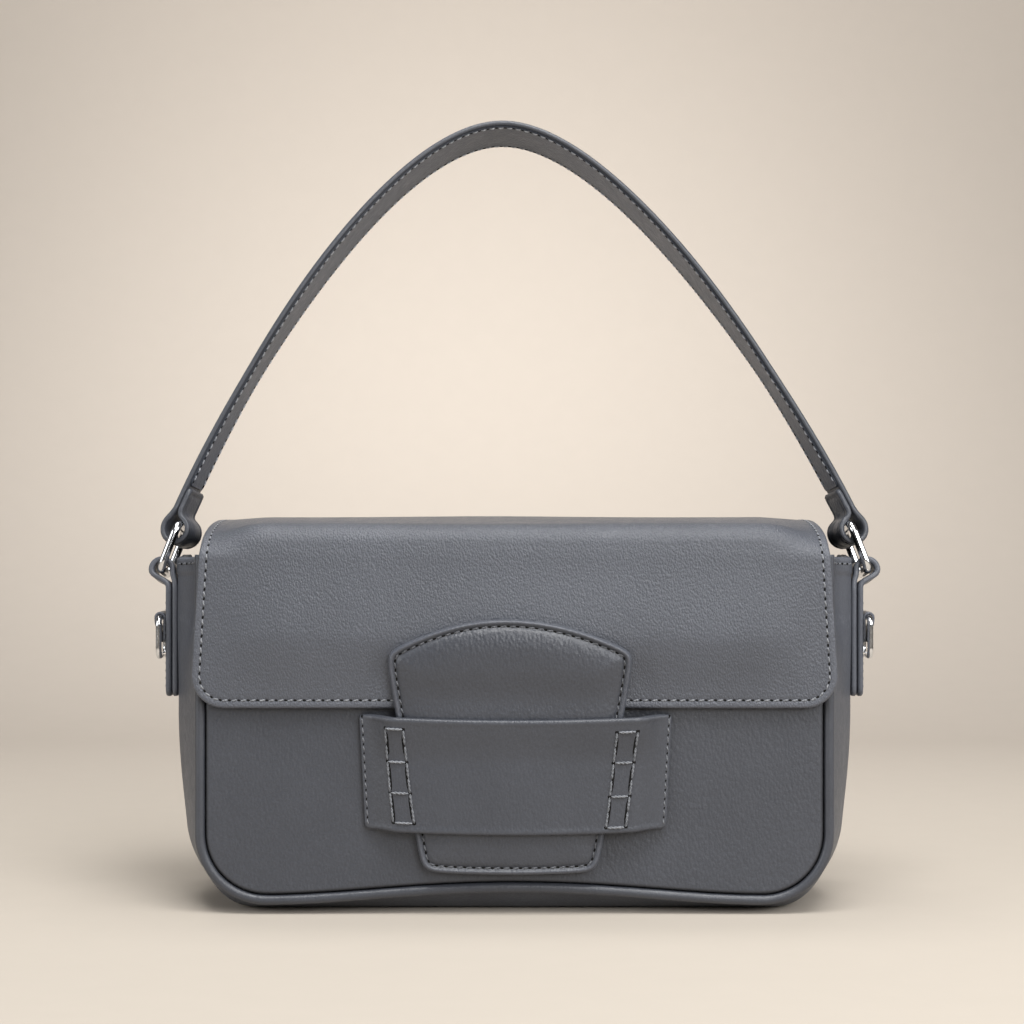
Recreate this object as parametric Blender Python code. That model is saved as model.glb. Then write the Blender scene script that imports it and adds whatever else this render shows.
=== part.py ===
"""A structured flap shoulder bag, standing closed with its strap upright.

The bag stands on its base at z = 0. X runs across the front, Y runs from the front to the back and
Z runs up. The flap is one skin in two stiff lengths that meet at the front crease. Its tongue is
tucked under a keeper band, and the strap hangs from two rings held by tabs on the gusset.
"""
import math

import bmesh
import bpy
from mathutils import Matrix, Vector

MM = 0.001

# Leather and clearances
LEATHER = 2.2 * MM
LINING = 0.8 * MM
GAP = 0.3 * MM

# Body: two panels, a gusset between them and a piping in each seam
BODY_DEPTH = 86.0 * MM
PANEL_HALF = 119.4 * MM
PANEL_TOP = 146.0 * MM
PANEL_CORNER = 23.0 * MM
SEAM_LOW = 7.3 * MM
SEAM_ARCH = 4.8 * MM
PIPING_RADIUS = 2.0 * MM
PIPING_PROUD = 0.3 * MM
PIPING_TOP_DROP = 0.5 * MM

# Gusset: the outline at its middle, where it bulges out and rests on the ground
GUSSET_BULGE = 15.8 * MM
GUSSET_HALF = PANEL_HALF + GUSSET_BULGE
GUSSET_CORNER = 30.0 * MM
GUSSET_DROP = 7.0 * MM
GUSSET_TOP = PANEL_TOP - GUSSET_DROP
GUSSET_SEAM_OUT = 3.6 * MM
HEM_DIP = 9.0 * MM
DEPTH_SHARES = (-1.0, -0.72, -0.45, -0.21, 0.0, 0.21, 0.45, 0.72, 1.0)
TOP_BULGE_SHARES = (0.0, 0.16, 0.42, 1.0, 1.0, 1.0, 0.42, 0.16, 0.0)
SIDE_BULGE_SHARES = (0.0, 0.40, 0.74, 1.0, 1.0, 1.0, 0.74, 0.40, 0.0)
BASE_BULGE_SHARES = (0.0, 1.0, 1.0, 1.0, 1.0, 1.0, 1.0, 1.0, 0.0)
HEM_DIP_SHARES = (0.0, 0.0, 0.0, 0.0, 0.0, 0.0, 1.0, 0.75, 0.0)

# Inside
BOARD_THICKNESS = 2.5 * MM
BOARD_END_SET_IN = 5.2 * MM
BOARD_HALF = GUSSET_HALF - GUSSET_CORNER - BOARD_END_SET_IN
BOARD_SIDE_SET_IN = 18.0 * MM
BOARD_HALF_DEPTH = BODY_DEPTH / 2 - BOARD_SIDE_SET_IN
LINING_TOP_DROP = 2.0 * MM
POCKET_HALF = 75.0 * MM
POCKET_DROP = 28.0 * MM
POCKET_TOP = PANEL_TOP - POCKET_DROP
POCKET_DEPTH = 68.0 * MM
POCKET_LOW = POCKET_TOP - POCKET_DEPTH
POCKET_CORNER = 8.0 * MM

# Flap: outer skin and lining, over the top and down the front
FLAP_RISE = 7.4 * MM
FLAP_CREST = PANEL_TOP + FLAP_RISE
FLAP_CROWN = 1.5 * MM
FLAP_BEND = 8.0 * MM
FLAP_BACK_SET_IN = 8.4 * MM
FLAP_CREST_OVER = 0.2 * MM
FLAP_FRONT_OVER = 1.5 * MM
FLAP_LOW_OVER = 4.0 * MM
FLAP_HALF_BACK = PANEL_HALF - FLAP_BACK_SET_IN
FLAP_HALF_CREST = PANEL_HALF + FLAP_CREST_OVER
FLAP_HALF_FRONT = PANEL_HALF + FLAP_FRONT_OVER
FLAP_HALF_LOW = PANEL_HALF + FLAP_LOW_OVER
FLAP_DROP = 73.9 * MM
FLAP_LOW = FLAP_CREST - FLAP_DROP
FLAP_CORNER = 10.0 * MM
ROOT_DROP = 53.4 * MM
ROOT_LOW = FLAP_CREST - ROOT_DROP

# Keeper band, sewn down at both ends
BAND_HALF_TOP = 59.6 * MM
BAND_HALF_LOW = 56.6 * MM
BAND_BELOW_FLAP = 2.3 * MM
BAND_HEIGHT = 44.2 * MM
BAND_TOP = FLAP_LOW - BAND_BELOW_FLAP
BAND_LOW = BAND_TOP - BAND_HEIGHT
BAND_SAG = 1.8 * MM
BAND_THICKNESS = 2.4 * MM
BAND_PLAY = 0.5 * MM
BAND_SHARES = (-1.0, -0.92, -0.88, -0.84, -0.80, -0.4, 0.0, 0.4, 0.80, 0.84, 0.88, 0.92, 1.0)
BAND_RISE_SHARES = (0.0, 0.0, 0.35, 0.80, 1.0, 1.0, 1.0, 1.0, 1.0, 0.80, 0.35, 0.0, 0.0)
BAND_ROWS = 8

# Tongue: sewn to the flap and tucked under the keeper band
TONGUE_SHIFT = -1.8 * MM
TONGUE_DROP = 39.3 * MM
TONGUE_TOP = FLAP_CREST - TONGUE_DROP
TONGUE_TOP_ARCH = 12.0 * MM
TONGUE_BELOW_BAND = 17.7 * MM
TONGUE_LOW = BAND_LOW - TONGUE_BELOW_BAND
TONGUE_HALF_TOP = 46.4 * MM
TONGUE_HALF_LOW = 34.4 * MM
TONGUE_CORNER = 12.0 * MM
TONGUE_THICKNESS = 2.0 * MM
TONGUE_PAD = 1.0 * MM
TUCK_BELOW_FLAP = 0.5 * MM
TUCK_LENGTH = 21.0 * MM
TUCK_FROM = FLAP_LOW - TUCK_BELOW_FLAP
TUCK_TO = TUCK_FROM - TUCK_LENGTH
TUCK_IN = 3.0 * MM
TONGUE_ARCH_SHARES = (0.8, 0.2)
TONGUE_COLUMNS = 12
TONGUE_ROWS = 20

# Side tabs: a strip folded round the ring and sewn to the gusset
TAB_HALF_WIDTH = 8.0 * MM
TAB_CORNER = 3.0 * MM
TAB_LOOP_RADIUS = 4.2 * MM
NECK_DROP = 15.0 * MM
NECK_HEIGHT = GUSSET_TOP - NECK_DROP
TAB_LENGTH = 43.2 * MM
TAB_LOW = NECK_HEIGHT - TAB_LENGTH
NECK_END_SHARE = 0.92
HORN_SHARE = 0.70

# Rings, standing in the strap's own frame: x outwards, s up from the neck
RING_WIRE = 1.5 * MM
RING_STAND_OFF = 6.8 * MM
RING_LOW_X = GUSSET_HALF + RING_STAND_OFF
RING_LOW_S = 6.9 * MM
RING_LENGTH = 19.4 * MM
RING_TILT = math.radians(20.0)
RING_SIDE_PLAY = 0.8 * MM
RING_CORNER = 4.0 * MM
RING_HIGH_X = RING_LOW_X - RING_LENGTH * math.sin(RING_TILT)
RING_HIGH_S = RING_LOW_S + RING_LENGTH * math.cos(RING_TILT)

# Strap: an arch with loops at its ends
STRAP_LEAN = math.radians(9.0)
STRAP_LAYER = 2.0 * MM
STRAP_LINING = 1.1 * MM
STRAP_LOOP_OUT = 0.2352 * MM
STRAP_LOOP_DROP = 1.83 * MM
STRAP_LOOP_X = RING_HIGH_X + STRAP_LOOP_OUT
STRAP_LOOP_S = RING_HIGH_S - STRAP_LOOP_DROP
STRAP_LOOP_RADIUS = 5.2 * MM
ARCH_FOOT_OUT = 0.6 * MM
ARCH_FOOT_RISE = 9.7 * MM
ARCH_FOOT_X = STRAP_LOOP_X + ARCH_FOOT_OUT
ARCH_FOOT_S = STRAP_LOOP_S + ARCH_FOOT_RISE
ARCH_RISE = 160.0 * MM
ARCH_TOP_S = ARCH_FOOT_S + ARCH_RISE
ARCH_SPLAY = math.radians(24.0)
ARCH_FOOT_PULL = 74.0 * MM
ARCH_TOP_PULL = 45.0 * MM
ARCH_SHIFT = -5.0 * MM
STRAP_HALF_END = 8.0 * MM
STRAP_HALF_TOP = 14.0 * MM
STRAP_WIDEN_LENGTH = 110.0 * MM
FOLD_LENGTH = 9.0 * MM

# Side frames: a small metal frame hung from a leather chape on each tab
FRAME_WIRE = 1.0 * MM
FRAME_DROP = 10.5 * MM
FRAME_TOP = NECK_HEIGHT - FRAME_DROP
FRAME_HEIGHT = 17.5 * MM
FRAME_HALF_WIDTH = 9.0 * MM
FRAME_CORNER = 3.0 * MM
CHAPE_LEATHER = 1.0 * MM
CHAPE_HALF_WIDTH = 6.0 * MM
CHAPE_LENGTH = 10.0 * MM

# Facets
SIDE_STEPS = 6
CORNER_STEPS = 6
BASE_STEPS = 10
BEND_STEPS = 5
ARCH_STEPS = 32
LOOP_STEPS = 12
WIRE_SIDES = 8
SMOOTH_ANGLE = math.radians(35.0)

# Colours, as linear values read from the photograph
SLATE = (0.095, 0.101, 0.112)
SLATE_DEEP = (0.075, 0.080, 0.090)
CLOTH = (0.045, 0.047, 0.052)
BOARD = (0.18, 0.15, 0.12)
CHROME = (0.75, 0.76, 0.78)


def clear_scene():
    for old in list(bpy.data.objects):
        bpy.data.objects.remove(old, do_unlink=True)


def material(name, colour, roughness, metallic=0.0):
    made = bpy.data.materials.new(name)
    made.use_nodes = True
    shader = made.node_tree.nodes["Principled BSDF"]
    shader.inputs["Base Color"].default_value = (*colour, 1.0)
    shader.inputs["Roughness"].default_value = roughness
    shader.inputs["Metallic"].default_value = metallic
    return made


def leather_look(name, colour=SLATE):
    return material(name, colour, 0.48)


def cloth_look(name):
    return material(name, CLOTH, 0.85)


def metal_look(name):
    return material(name, CHROME, 0.12, 1.0)


def finish(name, bm, look, parent=None):
    """Turn a bmesh into a shaded object with its faces pointing out, carried by its parent."""
    bmesh.ops.recalc_face_normals(bm, faces=bm.faces)
    mesh = bpy.data.meshes.new(name)
    bm.to_mesh(mesh)
    bm.free()
    mesh.shade_smooth()
    mesh.set_sharp_from_angle(angle=SMOOTH_ANGLE)
    mesh.materials.append(look)
    made = bpy.data.objects.new(name, mesh)
    bpy.context.scene.collection.objects.link(made)
    made.parent = parent
    return made


def anchor(name, place, parent=None):
    """An empty on a joint's axis, which carries the pieces of one moving body."""
    made = bpy.data.objects.new(name, None)
    bpy.context.scene.collection.objects.link(made)
    made.matrix_world = place
    if parent:
        carry(made, parent)
    return made


def carry(made, parent):
    """Parent an object that is placed in world coordinates, leaving it where it stands."""
    made.parent = parent
    made.matrix_parent_inverse = parent.matrix_world.inverted()


def ease(share):
    share = min(1.0, max(0.0, share))
    return share * share * (3.0 - 2.0 * share)


def mix(a, b, share):
    return a + (b - a) * share


def arc(centre, radius, start, end, steps):
    turns = [mix(start, end, i / steps) for i in range(steps + 1)]
    return [(centre[0] + radius * math.cos(a), centre[1] + radius * math.sin(a)) for a in turns]


def bezier(a, b, c, d, steps):
    points = []
    for i in range(steps + 1):
        t = i / steps
        u = 1.0 - t
        weights = (u * u * u, 3 * u * u * t, 3 * u * t * t, t * t * t)
        points.append(tuple(sum(w * p[k] for w, p in zip(weights, (a, b, c, d))) for k in (0, 1)))
    return points


def normals(path):
    """The unit normal to the left of a flat path, at each of its points."""
    found = []
    for i in range(len(path)):
        before = Vector(path[max(i - 1, 0)])
        after = Vector(path[min(i + 1, len(path) - 1)])
        along = (after - before).normalized()
        found.append(Vector((-along.y, along.x)))
    return found


def offset(path, distance):
    """A flat path moved to its left by a distance."""
    return [tuple(Vector(p) + n * distance) for p, n in zip(path, normals(path))]


def shell(name, outer, inner, look):
    """A skin between two grids of points with the same rows and columns."""
    bm = bmesh.new()
    top = [[bm.verts.new(p) for p in row] for row in outer]
    bottom = [[bm.verts.new(p) for p in row] for row in inner]
    rows, columns = len(top), len(top[0])
    for r in range(rows - 1):
        for c in range(columns - 1):
            bm.faces.new((top[r][c], top[r][c + 1], top[r + 1][c + 1], top[r + 1][c]))
            bm.faces.new((bottom[r][c], bottom[r + 1][c], bottom[r + 1][c + 1], bottom[r][c + 1]))
    rim = [(0, c) for c in range(columns)]
    rim += [(r, columns - 1) for r in range(1, rows)]
    rim += [(rows - 1, c) for c in reversed(range(columns - 1))]
    rim += [(r, 0) for r in reversed(range(1, rows - 1))]
    for (r0, c0), (r1, c1) in zip(rim, rim[1:] + rim[:1]):
        bm.faces.new((top[r0][c0], bottom[r0][c0], bottom[r1][c1], top[r1][c1]))
    return finish(name, bm, look)


def loft(name, sections, look, closed=False, parent=None):
    """A solid through rings of points, capped at its ends unless it closes on itself."""
    bm = bmesh.new()
    rings = [[bm.verts.new(p) for p in ring] for ring in sections]
    pairs = list(zip(rings, rings[1:]))
    if closed:
        pairs.append((rings[-1], rings[0]))
    for a, b in pairs:
        for i in range(len(a)):
            j = (i + 1) % len(a)
            bm.faces.new((a[i], a[j], b[j], b[i]))
    if not closed:
        bm.faces.new(rings[0])
        bm.faces.new(reversed(rings[-1]))
    return finish(name, bm, look, parent)


def plate(name, outline, front, back, look):
    """A flat sheet standing in the XZ plane, between two depths."""
    rings = [[(x, depth, z) for x, z in outline] for depth in (front, back)]
    return loft(name, rings, look)


def u_path(half, corner, low, arch, top):
    """Points down the left side, along the bottom and up the right side."""
    turn = low + corner
    flat = half - corner
    left = [(-half, mix(top, turn, i / SIDE_STEPS)) for i in range(SIDE_STEPS)]
    left += arc((-flat, turn), corner, math.pi, 1.5 * math.pi, CORNER_STEPS)
    base = []
    for i in range(1, BASE_STEPS):
        x = mix(-flat, flat, i / BASE_STEPS)
        base.append((x, low + arch * (1.0 - (x / flat) ** 2) ** 2))
    return left + base + [(-x, z) for x, z in reversed(left)]


def seam_path(out, top):
    """The panel's cut edge, moved out by a distance."""
    low = SEAM_LOW - out
    return u_path(PANEL_HALF + out, PANEL_CORNER + out, low, SEAM_ARCH, top)


def base_share(index):
    """How far a point of the U has turned from its side, 0, to its bottom, 1."""
    last = 2 * SIDE_STEPS + 2 * CORNER_STEPS + BASE_STEPS
    from_end = min(index, last - index)
    return ease((from_end - SIDE_STEPS) / CORNER_STEPS)


def gusset_depth():
    """Half the gusset's width, from the middle of the bag to the piping."""
    return BODY_DEPTH / 2 + PIPING_PROUD - 2 * PIPING_RADIUS - GAP


def gusset_grid(side_in, base_in):
    """The gusset's surface, set in by one distance at the sides and another at the bottom."""
    seam = seam_path(GUSSET_SEAM_OUT, GUSSET_TOP)
    ridge = u_path(GUSSET_HALF, GUSSET_CORNER, 0.0, 0.0, GUSSET_TOP)
    inward = normals(ridge)
    turn = GUSSET_CORNER
    rows = []
    for i, (edge, out) in enumerate(zip(seam, ridge)):
        down = base_share(i)
        high = ease((out[1] - GUSSET_TOP / 2) / (GUSSET_TOP / 2))
        set_in = inward[i] * mix(side_in, base_in, down)
        row = []
        for k, depth_share in enumerate(DEPTH_SHARES):
            side = mix(SIDE_BULGE_SHARES[k], TOP_BULGE_SHARES[k], high)
            bulge = mix(side, BASE_BULGE_SHARES[k], down)
            x = mix(edge[0], out[0], bulge) + set_in.x
            z = mix(edge[1], out[1], bulge) + set_in.y
            if z > turn:
                z = mix(z, turn, HEM_DIP * HEM_DIP_SHARES[k] / (GUSSET_TOP - turn))
            row.append((x, depth_share * gusset_depth(), z))
        rows.append(row)
    return rows


def add_panels():
    outline = seam_path(0.0, PANEL_TOP)
    face = BODY_DEPTH / 2
    inside = face - LEATHER
    plate("front_panel", outline, -face, -inside, leather_look("front_panel"))
    plate("back_panel", outline, inside, face, leather_look("back_panel"))
    lining = seam_path(0.0, PANEL_TOP - LINING_TOP_DROP)
    outer = inside - GAP
    inner = outer - LINING
    plate("lining_front", lining, -outer, -inner, cloth_look("lining_front"))
    plate("lining_back", lining, inner, outer, cloth_look("lining_back"))
    low, top, half = POCKET_LOW, POCKET_TOP, POCKET_HALF
    pocket = [(-half, top)]
    pocket += arc((POCKET_CORNER - half, low + POCKET_CORNER), POCKET_CORNER,
                  math.pi, 1.5 * math.pi, BEND_STEPS)
    pocket += [(-x, z) for x, z in reversed(pocket)]
    plate("slip_pocket", pocket, inner - GAP - LINING, inner - GAP, cloth_look("slip_pocket"))


def add_piping(name, side):
    """A round cord along the seam. Side is -1 at the front and 1 at the back."""
    path = seam_path(PIPING_RADIUS + GAP, PANEL_TOP - PIPING_TOP_DROP)
    depth = side * (BODY_DEPTH / 2 + PIPING_PROUD - PIPING_RADIUS)
    rings = []
    for (x, z), out in zip(path, normals(path)):
        ring = []
        for i in range(WIRE_SIDES):
            turn = 2 * math.pi * i / WIRE_SIDES
            reach = PIPING_RADIUS * math.cos(turn)
            ring.append((x + out.x * reach, depth + PIPING_RADIUS * math.sin(turn), z + out.y * reach))
        rings.append(ring)
    loft(name, rings, leather_look(name, SLATE_DEEP))


def add_gusset():
    shell("gusset", gusset_grid(0.0, 0.0), gusset_grid(LEATHER, LEATHER), leather_look("gusset"))
    side_in = LEATHER + GAP
    base_in = side_in + BOARD_THICKNESS + GAP
    shell("lining_gusset", gusset_grid(side_in, base_in),
          gusset_grid(side_in + LINING, base_in + LINING), cloth_look("lining_gusset"))
    low = LEATHER + GAP
    corners = [(-BOARD_HALF, low), (BOARD_HALF, low),
               (BOARD_HALF, low + BOARD_THICKNESS), (-BOARD_HALF, low + BOARD_THICKNESS)]
    plate("base_board", corners, -BOARD_HALF_DEPTH, BOARD_HALF_DEPTH,
          material("base_board", BOARD, 0.9))


def flap_stack():
    """Depths from the middle of the bag to the flap's lining and skin."""
    lining_in = BODY_DEPTH / 2 + PIPING_PROUD + GAP
    skin_in = lining_in + LINING + GAP
    return lining_in, skin_in, skin_in + LEATHER


def hinge_height():
    return FLAP_CREST - FLAP_CROWN - FLAP_BEND


def flap_profile(set_in):
    """The flap over the top of the bag as (y, z), from the back hinge to the front crease."""
    face = flap_stack()[2]
    flat = face - FLAP_BEND
    low = hinge_height()
    radius = FLAP_BEND - set_in
    path = arc((flat, low), radius, 0.0, math.pi / 2, BEND_STEPS)
    for i in range(1, 2 * BEND_STEPS):
        y = mix(flat, -flat, i / (2 * BEND_STEPS))
        path.append((y, low + radius + FLAP_CROWN * (1.0 - (y / flat) ** 2)))
    return path + arc((-flat, low), radius, math.pi / 2, math.pi, BEND_STEPS)


def flap_top_half(y):
    """Half the width of the flap where it crosses the top of the bag."""
    face = flap_stack()[2]
    if y > 0:
        return mix(FLAP_HALF_CREST, FLAP_HALF_BACK, y / face)
    return mix(FLAP_HALF_CREST, FLAP_HALF_FRONT, -y / face)


def flap_top_grid(set_in):
    columns = 2 * BEND_STEPS
    outer = flap_profile(0.0)
    rows = []
    for (y, z), (outer_y, _) in zip(flap_profile(set_in), outer):
        half = flap_top_half(outer_y)
        rows.append([(mix(-half, half, c / columns), y, z) for c in range(columns + 1)])
    return rows


def add_flap_top(hinge):
    skin = LEATHER
    lining = LEATHER + GAP
    carry(shell("flap_top", flap_top_grid(0.0), flap_top_grid(skin), leather_look("flap_top")), hinge)
    carry(shell("flap_top_lining", flap_top_grid(lining), flap_top_grid(lining + LINING),
                cloth_look("flap_top_lining")), hinge)


def flap_front_outline():
    top = hinge_height() - GAP
    low = FLAP_LOW + FLAP_CORNER
    left = [(-FLAP_HALF_FRONT, top), (-FLAP_HALF_LOW, low)]
    left += arc((FLAP_CORNER - FLAP_HALF_LOW, low), FLAP_CORNER, math.pi, 1.5 * math.pi, CORNER_STEPS)[1:]
    return left + [(-x, z) for x, z in reversed(left)]


def add_flap_front(crease):
    lining_in, skin_in, face = flap_stack()
    outline = flap_front_outline()
    carry(plate("flap_front", outline, -face, -skin_in, leather_look("flap_front")), crease)
    carry(plate("flap_front_lining", outline, GAP - skin_in, -lining_in,
                cloth_look("flap_front_lining")), crease)


def add_flap_root():
    """The flap's sewn end on the back panel, below the hinge."""
    top = hinge_height() - GAP
    low = ROOT_LOW + FLAP_CORNER
    left = [(-FLAP_HALF_BACK, top)]
    left += arc((FLAP_CORNER - FLAP_HALF_BACK, low), FLAP_CORNER, math.pi, 1.5 * math.pi, CORNER_STEPS)
    lining_in, _, face = flap_stack()
    plate("flap_root", left + [(-x, z) for x, z in reversed(left)], lining_in, face,
          leather_look("flap_root"))


def tongue_inner_depth(z):
    """How far the tongue's inner face stands in front of the middle of the bag."""
    return flap_stack()[2] + GAP - TUCK_IN * ease((TUCK_FROM - z) / (TUCK_FROM - TUCK_TO))


def tongue_grid(set_out, pad):
    arch_share, corner_share = TONGUE_ARCH_SHARES
    made = []
    for r in range(TONGUE_ROWS + 1):
        row = []
        for c in range(TONGUE_COLUMNS + 1):
            u = mix(-1.0, 1.0, c / TONGUE_COLUMNS)
            corner = max(0.0, abs(u) * TONGUE_HALF_LOW - TONGUE_HALF_LOW + TONGUE_CORNER)
            low = TONGUE_LOW + TONGUE_CORNER - math.sqrt(TONGUE_CORNER ** 2 - corner ** 2)
            top = TONGUE_TOP - TONGUE_TOP_ARCH * (arch_share * u * u + corner_share * u ** 8)
            z = mix(low, top, r / TONGUE_ROWS)
            across = ease((z - TONGUE_LOW) / (TONGUE_TOP - TONGUE_LOW))
            half = mix(TONGUE_HALF_LOW, TONGUE_HALF_TOP, across)
            swell = pad * (1.0 - u * u) ** 2 * math.sin(math.pi * r / TONGUE_ROWS)
            row.append((TONGUE_SHIFT + u * half, -(tongue_inner_depth(z) + set_out + swell), z))
        made.append(row)
    return made


def add_tongue(crease):
    skin_in = LINING + GAP
    carry(shell("tongue_lining", tongue_grid(LINING, 0.0), tongue_grid(0.0, 0.0),
                leather_look("tongue_lining", SLATE_DEEP)), crease)
    carry(shell("closure_tongue", tongue_grid(skin_in + TONGUE_THICKNESS, TONGUE_PAD),
                tongue_grid(skin_in, 0.0), leather_look("closure_tongue")), crease)


def band_grid(set_out):
    made = []
    for r in range(BAND_ROWS + 1):
        share = r / BAND_ROWS
        half = mix(BAND_HALF_LOW, BAND_HALF_TOP, share)
        row = []
        for u, rise in zip(BAND_SHARES, BAND_RISE_SHARES):
            z = mix(BAND_LOW, BAND_TOP, share) - BAND_SAG * rise * (1.0 - u * u)
            sewn = BODY_DEPTH / 2 + GAP
            tongue = LINING + GAP + TONGUE_THICKNESS + TONGUE_PAD * (1.0 - u * u) + BAND_PLAY
            over = tongue_inner_depth(z) + tongue
            row.append((u * half, -(mix(sewn, over, rise) + set_out), z))
        made.append(row)
    return made


def add_band():
    shell("keeper_band", band_grid(BAND_THICKNESS), band_grid(0.0), leather_look("keeper_band"))


def add_tab(side_name, side):
    """The sewn part of a tab: both layers, hollowed at the top round the neck."""
    inner = GUSSET_HALF + GAP
    outer = inner + 2 * LEATHER + GAP
    reach = TAB_HALF_WIDTH + GAP
    cut = math.asin(HORN_SHARE * TAB_HALF_WIDTH / reach)
    outline = arc((TAB_HALF_WIDTH - TAB_CORNER, TAB_LOW + TAB_CORNER), TAB_CORNER,
                  1.5 * math.pi, 2 * math.pi, BEND_STEPS)
    horn = NECK_HEIGHT - reach * math.cos(cut)
    outline.append((TAB_HALF_WIDTH, horn))
    hollow = arc((0.0, NECK_HEIGHT), reach, cut - math.pi / 2, -cut - math.pi / 2, LOOP_STEPS)
    outline += hollow + [(-TAB_HALF_WIDTH, horn)]
    outline += arc((TAB_CORNER - TAB_HALF_WIDTH, TAB_LOW + TAB_CORNER), TAB_CORNER,
                   math.pi, 1.5 * math.pi, BEND_STEPS)
    name = side_name + "_side_tab"
    rings = [[(side * x, y, z) for y, z in outline] for x in (inner, outer)]
    loft(name, rings, leather_look(name))


def ribbon(name, path, half_widths, thickness, side, look, parent):
    """A flat strip along a path of (x, s) points, as wide as the half widths say."""
    left = offset(path, thickness / 2)
    right = offset(path, -thickness / 2)
    rings = []
    for (x0, s0), (x1, s1), half in zip(left, right, half_widths):
        rings.append([(side * x0, -half, s0), (side * x0, half, s0),
                      (side * x1, half, s1), (side * x1, -half, s1)])
    return loft(name, rings, look, parent=parent)


def add_tab_loop(side_name, side, neck):
    """The free part of a tab, from its round end at the neck up and over the ring's lower bar."""
    first = GUSSET_HALF + GAP + LEATHER / 2
    second = first + LEATHER + GAP
    centre = (RING_LOW_X, RING_LOW_S)
    radius = TAB_LOOP_RADIUS
    end = -NECK_END_SHARE * TAB_HALF_WIDTH
    inner_leg = [(first, mix(end, 0.0, i / BEND_STEPS)) for i in range(BEND_STEPS)]
    outer_leg = [(second, s) for _, s in reversed(inner_leg)]
    rise = RING_LOW_S / 2
    up = bezier((first, 0.0), (first, rise), (centre[0] - radius, centre[1] - rise),
                (centre[0] - radius, centre[1]), BEND_STEPS)
    over = arc(centre, radius, math.pi, 0.0, LOOP_STEPS)[1:-1]
    turn = (centre[0] + radius, centre[1])
    down = bezier(turn, (turn[0], turn[1] - rise), (second, rise), (second, 0.0), BEND_STEPS)
    path = inner_leg + up + over + down + outer_leg
    halves = [math.sqrt(TAB_HALF_WIDTH ** 2 - min(s, 0.0) ** 2) for _, s in path]
    name = side_name + "_tab_loop"
    ribbon(name, path, halves, LEATHER, side, leather_look(name), neck)


def wire_frame(name, length, half_width, corner, wire, tilt, side, look, pivot):
    """A closed wire, a rounded rectangle that hangs from its top bar at the pivot's origin."""
    half = length / 2
    corners = ((half_width - corner, half - corner, 0.0), (corner - half_width, half - corner, 0.5),
               (corner - half_width, corner - half, 1.0), (half_width - corner, corner - half, 1.5))
    loop = []
    for across, along, turn in corners:
        start = turn * math.pi
        loop += arc((across, along), corner, start, start + math.pi / 2, BEND_STEPS)
    up = Vector((-math.sin(tilt), 0.0, math.cos(tilt)))
    face = Vector((math.cos(tilt), 0.0, math.sin(tilt)))
    rings = []
    for i, (across, along) in enumerate(loop):
        nearest = Vector((max(corner - half_width, min(half_width - corner, across)),
                          max(corner - half, min(half - corner, along))))
        out = (Vector((across, along)) - nearest).normalized()
        ring = []
        for k in range(WIRE_SIDES):
            turn = 2 * math.pi * k / WIRE_SIDES
            flat = wire * math.cos(turn)
            point = up * (along + out.y * flat - half)
            point += face * (wire * math.sin(turn))
            ring.append((side * point.x, across + out.x * flat, point.z))
        rings.append(ring)
    return loft(name, rings, look, closed=True, parent=pivot)


def add_ring(side_name, side, neck):
    """A ring on its own pivot at its upper bar, inside the strap's end loop."""
    name = side_name + "_ring"
    upper_bar = neck.matrix_world @ Matrix.Translation((side * RING_HIGH_X, 0.0, RING_HIGH_S))
    pivot = anchor(name + "_pivot", upper_bar, neck)
    width = STRAP_HALF_END + RING_SIDE_PLAY + RING_WIRE
    wire_frame(name, RING_LENGTH, width, RING_CORNER, RING_WIRE, RING_TILT, side,
               metal_look(name), pivot)


def chape_depth():
    """How far out the frame's bars stand from the middle of the bag."""
    tab_face = GUSSET_HALF + 2 * GAP + 2 * LEATHER
    return tab_face + GAP + CHAPE_LEATHER + GAP + FRAME_WIRE


def add_side_frame(side_name, side):
    centre_x = chape_depth()
    top_bar = FRAME_TOP - FRAME_WIRE
    length = FRAME_HEIGHT - 2 * FRAME_WIRE
    name = side_name + "_side_frame"
    pivot = anchor(name + "_pivot", Matrix.Translation((side * centre_x, 0.0, top_bar)))
    wire_frame(name, length, FRAME_HALF_WIDTH, FRAME_CORNER, FRAME_WIRE, 0.0, side,
               metal_look(name), pivot)
    radius = FRAME_WIRE + GAP + CHAPE_LEATHER / 2
    back = centre_x - radius
    low = top_bar - CHAPE_LENGTH
    path = [(back, mix(low, top_bar, i / BEND_STEPS)) for i in range(BEND_STEPS)]
    path += arc((centre_x, top_bar), radius, math.pi, 0.0, LOOP_STEPS)
    front = back + CHAPE_LEATHER + GAP
    drop = CHAPE_LENGTH / 2
    path += bezier((centre_x + radius, top_bar), (centre_x + radius, top_bar - drop),
                   (front, low + drop), (front, low), 2 * BEND_STEPS)[1:]
    name = side_name + "_chape"
    ribbon(name, path, [CHAPE_HALF_WIDTH] * len(path), CHAPE_LEATHER, side,
           leather_look(name, SLATE_DEEP), None)


def arch_surface():
    """The right half of the strap's outer face, from its foot to its top."""
    foot = (ARCH_FOOT_X, ARCH_FOOT_S)
    top = (0.0, ARCH_TOP_S)
    lean_in = (ARCH_FOOT_X - ARCH_FOOT_PULL * math.sin(ARCH_SPLAY),
               ARCH_FOOT_S + ARCH_FOOT_PULL * math.cos(ARCH_SPLAY))
    return bezier(foot, lean_in, (ARCH_TOP_PULL, ARCH_TOP_S), top, ARCH_STEPS)


def whole_arch(set_in):
    """The strap's arch from its right foot to its left foot, set in from its outer face."""
    right = arch_surface()
    left = [(-x, s) for x, s in reversed(right[:-1])]
    path = [(x + ARCH_SHIFT * (s - ARCH_FOOT_S) / (ARCH_TOP_S - ARCH_FOOT_S), s) for x, s in right + left]
    return offset(path, set_in)


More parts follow.
